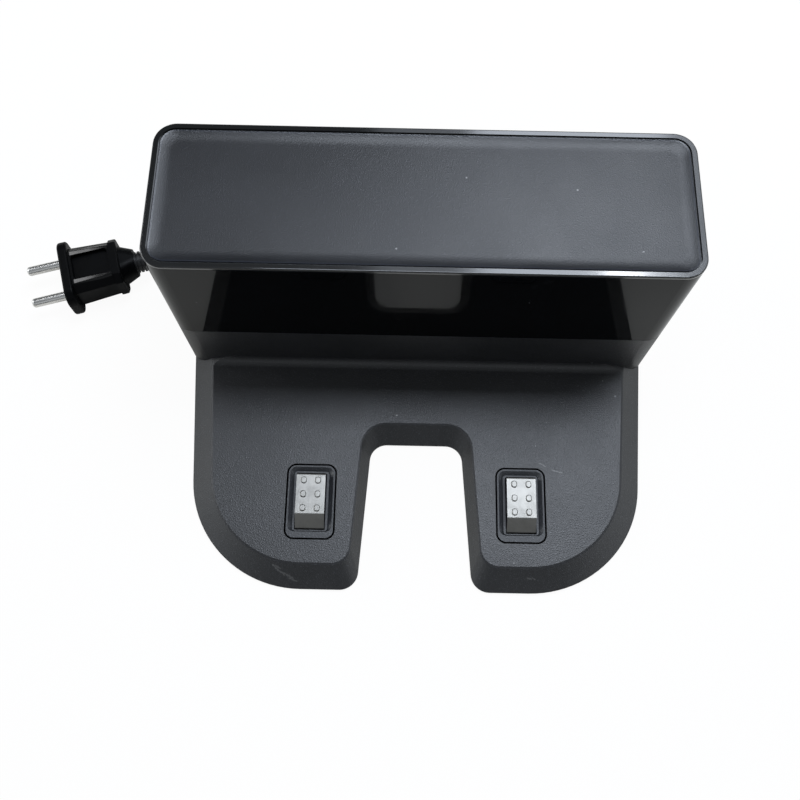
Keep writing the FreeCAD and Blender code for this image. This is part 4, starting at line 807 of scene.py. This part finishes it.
class DOCK_OT_stage(bpy.types.Operator):
    """Makes the camera, the lamps, the room light and the pale floor"""

    bl_idname = "dock.stage"
    bl_label = "Stage"

    def execute(self, context):
        stage = stage_set()
        scene = context.scene
        scene.view_settings.view_transform = "Standard"
        yaw, pitch, roll = stage.camera_turn
        ahead = Vector((math.sin(yaw) * math.cos(pitch), math.cos(yaw) * math.cos(pitch), -math.sin(pitch)))
        right = Vector((math.cos(yaw), -math.sin(yaw), 0.0))
        above = right.cross(ahead)
        across = right * math.cos(roll) + above * math.sin(roll)
        upward = above * math.cos(roll) - right * math.sin(roll)
        data = bpy.data.cameras.new("camera")
        data.lens = stage.lens
        data.sensor_width = 36.0
        data.clip_start = 0.01
        camera = bpy.data.objects.new("camera", data)
        turn = Matrix((across, upward, -ahead)).transposed().to_4x4()
        camera.matrix_world = Matrix.Translation(stage.camera_place) @ turn
        scene.collection.objects.link(camera)
        scene.camera = camera
        for name, place, width, depth, setting, share, colour in LAMPS:
            self.lamp(scene, name, place, width, depth, getattr(stage, setting) * share, colour)
        self.room(scene, stage.room_light)
        self.floor(scene, stage.floor_in_gloss)
        return {"FINISHED"}

    @staticmethod
    def lamp(scene, name, place, width, depth, power, colour):
        """A rectangular lamp facing down, or at the dock where it is the aimed one."""
        data = bpy.data.lights.new(name, "AREA")
        data.shape = "RECTANGLE"
        data.size = width
        data.size_y = depth
        data.energy = power
        data.color = colour
        lamp = bpy.data.objects.new(name, data)
        lamp.location = place
        if name == AIMED_LAMP:
            aim = Vector(LAMP_AIM) - Vector(place)
            lamp.rotation_euler = aim.to_track_quat("-Z", "Y").to_euler()
        scene.collection.objects.link(lamp)

    @staticmethod
    def room(scene, strength):
        """Light by direction from all round, which the camera sees as white."""
        world = bpy.data.worlds.new("room")
        tree, surface = bare_tree(world, "ShaderNodeOutputWorld")
        path = tree.nodes.new("ShaderNodeLightPath")
        round_about = tree.nodes.new("ShaderNodeTexCoord").outputs["Generated"]
        aim = put(tree, "ShaderNodeSeparateXYZ", Vector=round_about)
        above = times(tree, ramp(tree, aim.outputs["Z"], *ROOM_ABOVE),
                      ramp(tree, aim.outputs["Y"], *ABOVE_REACH))
        beside = ramp(tree, sums(tree, "ABSOLUTE", aim.outputs["X"]), *ROOM_BESIDE)
        behind = ramp(tree, aim.outputs["Y"], *ROOM_BEHIND)
        front = times(tree, ramp(tree, aim.outputs["Y"], *ROOM_FRONT),
                      ramp(tree, aim.outputs["Z"], *FRONT_REACH))
        level = sums(tree, "ADD", sums(tree, "ADD", above, beside), sums(tree, "ADD", behind, front))
        even = put(tree, "ShaderNodeBackground", Color=ROOM_COLOUR,
                   Strength=times(tree, level, strength))
        pale = put(tree, "ShaderNodeBackground", Color=WHITE, Strength=1.0)
        mix = mix_shaders(tree, path.outputs["Is Camera Ray"], even.outputs[0], pale.outputs[0])
        tree.links.new(mix, surface)
        scene.world = world

    @staticmethod
    def floor(scene, in_gloss):
        """A pale floor that keeps the dock's shadow."""
        mesh = bpy.data.meshes.new("floor")
        reach = FLOOR_REACH
        mesh.from_pydata([(-reach, -reach, 0), (reach, -reach, 0), (reach, reach, 0), (-reach, reach, 0)],
                         [], [(0, 1, 2, 3)])
        floor = bpy.data.objects.new("floor", mesh)
        scene.collection.objects.link(floor)
        material = bpy.data.materials.new("pale_floor")
        tree, surface = bare_tree(material, "ShaderNodeOutputMaterial")
        path = tree.nodes.new("ShaderNodeLightPath")
        chalk = put(tree, "ShaderNodeBsdfDiffuse", Color=FLOOR_COLOUR)
        seen = put(tree, "ShaderNodeEmission", Color=WHITE, Strength=1.0)
        mirrored = put(tree, "ShaderNodeBsdfDiffuse", Color=(*(in_gloss * tint for tint in FLOOR_TINT), 1.0))
        share = times(tree, path.outputs["Is Camera Ray"], FLOOR_SEEN)
        direct = mix_shaders(tree, share, chalk.outputs[0], seen.outputs[0])
        share = sums(tree, "MAXIMUM", path.outputs["Is Glossy Ray"], path.outputs["Is Transmission Ray"])
        gloss = mix_shaders(tree, share, direct, mirrored.outputs[0])
        tree.links.new(gloss, surface)
        mesh.materials.append(material)


# points of the lead from the gland to the hank, and of the tail from the hank to the plug, in metres
LEAD_ROUTE = (
    (0.095, 0.11225, 0.013), (0.095, 0.12525, 0.013), (0.094, 0.139, 0.0104), (0.085, 0.151, 0.0062),
    (0.069, 0.1582, 0.0036), (0.050, 0.1595, 0.003), (0.032, 0.159, 0.003), (0.010, 0.1556, 0.0035),
    (-0.008, 0.1533, 0.0039), (-0.034, 0.15295, 0.004),
)
TAIL_ROUTE = (
    (0.034, 0.15295, 0.0098), (0.014, 0.1536, 0.0098), (-0.004, 0.156, 0.0096), (-0.020, 0.1587, 0.0076),
    (-0.039, 0.159, 0.0036), (-0.0595, 0.1594, 0.003), (-0.081, 0.157, 0.003), (-0.101, 0.1495, 0.003),
    (-0.116, 0.137, 0.0031), (-0.1245, 0.123, 0.0036), (-0.1278, 0.11065, 0.0050),
    (-0.1284, 0.10085, 0.0072), (-0.1282, 0.09305, 0.0089), (-0.1302, 0.08675, 0.0101),
    (-0.1342, 0.08185, 0.0108), (-0.13978, 0.07883, 0.011), (-0.14553, 0.07713, 0.011),
)
# the hank: height of its lower turns, points in a fold, and places of the points along a run
HANK_LOW = 0.0040
FOLD_POINTS = 6
RUN_PLACES = (0.68, 0.0, -0.68)
# how far the inner turn has eased inwards, climbed and eased out again at each point
EASE_IN = (0.72, 0.18, 0.0)
CLIMB = (0.06, 0.22, 0.42, 0.62, 0.82, 0.96)
EASE_OUT = (0.15, 0.5, 0.85)


class DOCK_OT_lead(bpy.types.Operator):
    """Lays the mains lead from its gland through the tied hank to the plug"""

    bl_idname = "dock.lead"
    bl_label = "Mains lead"

    def execute(self, context):
        sizes = size_set()
        line = [*LEAD_ROUTE, *self.turns(sizes), *TAIL_ROUTE]
        curve = bpy.data.curves.new("mains_lead", "CURVE")
        curve.dimensions = "3D"
        curve.bevel_depth = sizes.cord_diameter / 2
        curve.bevel_resolution = 5
        curve.use_fill_caps = True
        spline = curve.splines.new("NURBS")
        spline.points.add(len(line) - 1)
        for point, place in zip(spline.points, line):
            point.co = (*place, 1.0)
        spline.order_u = 3
        spline.use_endpoint_u = True
        spline.resolution_u = 6
        curve.materials.append(finish("cord_rubber"))
        lead = bpy.data.objects.new("mains_lead", curve)
        context.scene.collection.objects.link(lead)
        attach(lead, "dock")
        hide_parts("cord_lead", "cord_hank", "cord_tail")
        return {"FINISHED"}

    @staticmethod
    def turns(sizes):
        """Three turns of the hank: outer and inner below, then inner above, easing out to the outside."""
        ease = sizes.turn_pitch
        outer = sizes.hank_fold + ease / 2
        inner = sizes.hank_fold - ease / 2
        low = HANK_LOW
        high = low + ease
        half = sizes.hank_half_run
        middle = sizes.hank_middle
        step = math.pi / FOLD_POINTS
        runs = len(RUN_PLACES)
        # reach from the middle and height at each point: rear run, left fold, front run, right fold
        turns = (
            ((), [(outer, low)] * FOLD_POINTS, [(outer, low)] * runs, [(outer, low)] * FOLD_POINTS),
            ([(inner + ease * share, low) for share in EASE_IN], [(inner, low)] * FOLD_POINTS,
             [(inner, low)] * runs, [(inner, low + ease * share) for share in CLIMB]),
            ([(inner, high)] * runs, [(inner, high)] * FOLD_POINTS,
             [(inner + ease * share, high) for share in EASE_OUT], [(outer, high)] * FOLD_POINTS),
        )
        points = []

        def run(side, spans):
            for share, (reach, height) in zip(RUN_PLACES, spans):
                points.append((side * half * share, middle + side * reach, height))

        def fold(side, spans):
            for index, (radius, height) in enumerate(spans):
                angle = math.pi / 2 * side + step * (index + 0.5)
                reach = radius / math.cos(step / 2)
                across = reach * math.cos(angle) - side * half
                points.append((across, middle + reach * math.sin(angle), height))

        for rear, left, front, right in turns:
            run(1, rear)
            fold(1, left)
            run(-1, front)
            fold(-1, right)
        return points


class DOCK_OT_shells(bpy.types.Operator):
    """Finishes the moulded shells: main housing, rear cover, bottom plate and feet"""

    bl_idname = "dock.shells"
    bl_label = "Shells"

    def execute(self, context):
        for node in ("main_housing", "rear_cover", "bottom_plate", "rubber_feet"):
            dress(node)
        return {"FINISHED"}


class DOCK_OT_window(bpy.types.Operator):
    """Finishes the gloss window"""

    bl_idname = "dock.window"
    bl_label = "Window"

    def execute(self, context):
        dress("front_window")
        return {"FINISHED"}


class DOCK_OT_lid(bpy.types.Operator):
    """Finishes the dished lid"""

    bl_idname = "dock.lid"
    bl_label = "Lid"

    def execute(self, context):
        dress("top_cover")
        return {"FINISHED"}


class DOCK_OT_contacts(bpy.types.Operator):
    """Finishes both charging contacts: bezel, plate, carrier, spring, terminal and lead"""

    bl_idname = "dock.contacts"
    bl_label = "Contacts"

    def execute(self, context):
        for side in ("left", "right"):
            for piece in ("bezel", "plate", "carrier", "terminal", "lead"):
                dress("contact_%s_%s" % (piece, side))
            self.spring(context, side)
        return {"FINISHED"}

    @staticmethod
    def spring(context, side):
        """Winds the spring under a contact, as tall as its CAD part."""
        sizes = size_set()
        node = "contact_spring_" + side
        low, high = (Vector(corner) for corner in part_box(node))
        tall = high.z - low.z
        middle = (low + high) / 2
        seed = bpy.data.objects.new(node, bpy.data.meshes.new(node))
        context.scene.collection.objects.link(seed)
        coil = settle(context, seed, "contact_coil_" + side, coil_spring(), {
            "Place": (middle.x, middle.y, low.z + sizes.spring_wire / 2),
            "Radius": (high.x - low.x - sizes.spring_wire) / 2, "Wire": sizes.spring_wire,
            "Turns": sizes.spring_turns, "Rise": tall - sizes.spring_wire, "Finish": finish("spring_steel")})
        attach(coil, "dock")
        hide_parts(node)
        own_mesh(coil)


class DOCK_OT_inner_works(bpy.types.Operator):
    """Finishes the boards, the power supply and the wires inside the tower"""

    bl_idname = "dock.inner_works"
    bl_label = "Inner works"

    def execute(self, context):
        for node in ("beacon_board", "beacon_emitters", "power_board", "transformer_core",
                     "transformer_winding", "bulk_capacitor", "mains_choke", "output_block", "mains_block",
                     "mains_wires"):
            dress(node)
        return {"FINISHED"}


class DOCK_OT_plug(bpy.types.Operator):
    """Finishes the plug, its pins, the relief sleeve, the gland and the tie"""

    bl_idname = "dock.plug"
    bl_label = "Plug"

    def execute(self, context):
        for node in ("plug_body", "plug_relief", "plug_pins", "cord_gland", "cord_tie"):
            dress(node)
        return {"FINISHED"}


class DOCK_OT_screws(bpy.types.Operator):
    """Finishes the screws of the base and the boards"""

    bl_idname = "dock.screws"
    bl_label = "Screws"

    def execute(self, context):
        dress("base_screws")
        dress("board_screws")
        return {"FINISHED"}


class DOCK_PT_panel(bpy.types.Panel):
    """Sizes, colours and making of the charging dock"""

    bl_idname = "DOCK_PT_panel"
    bl_label = "Charging dock"
    bl_space_type = "VIEW_3D"
    bl_region_type = "UI"
    bl_category = "Dock"

    def draw(self, context):
        layout = self.layout
        for title, settings in (("Finish", finish_set()), ("Sizes", size_set()), ("Stage", stage_set())):
            box = layout.box()
            box.label(text=title)
            for key in settings.__annotations__:
                box.prop(settings, key)
        for operator in OPERATORS:
            layout.operator(operator.bl_idname)


OPERATORS = (
    DOCK_OT_stage,
    DOCK_OT_lead,
    DOCK_OT_shells,
    DOCK_OT_window,
    DOCK_OT_lid,
    DOCK_OT_contacts,
    DOCK_OT_inner_works,
    DOCK_OT_plug,
    DOCK_OT_screws,
)
GROUPS = (DockFinish, DockSizes, DockStage)


def register():
    for cls in GROUPS + OPERATORS + (DOCK_PT_panel,):
        bpy.utils.register_class(cls)
    bpy.types.Scene.dock_finish = bpy.props.PointerProperty(type=DockFinish)
    bpy.types.Scene.dock_sizes = bpy.props.PointerProperty(type=DockSizes)
    bpy.types.Scene.dock_stage = bpy.props.PointerProperty(type=DockStage)


def unregister():
    del bpy.types.Scene.dock_stage
    del bpy.types.Scene.dock_sizes
    del bpy.types.Scene.dock_finish
    for cls in reversed(GROUPS + OPERATORS + (DOCK_PT_panel,)):
        bpy.utils.unregister_class(cls)


def main():
    register()
    FINISHES.update(make_finishes())
    bpy.ops.dock.stage()
    bpy.ops.dock.lead()
    bpy.ops.dock.shells()
    bpy.ops.dock.window()
    bpy.ops.dock.lid()
    bpy.ops.dock.contacts()
    bpy.ops.dock.inner_works()
    bpy.ops.dock.plug()
    bpy.ops.dock.screws()


if __name__ == "__main__":
    main()
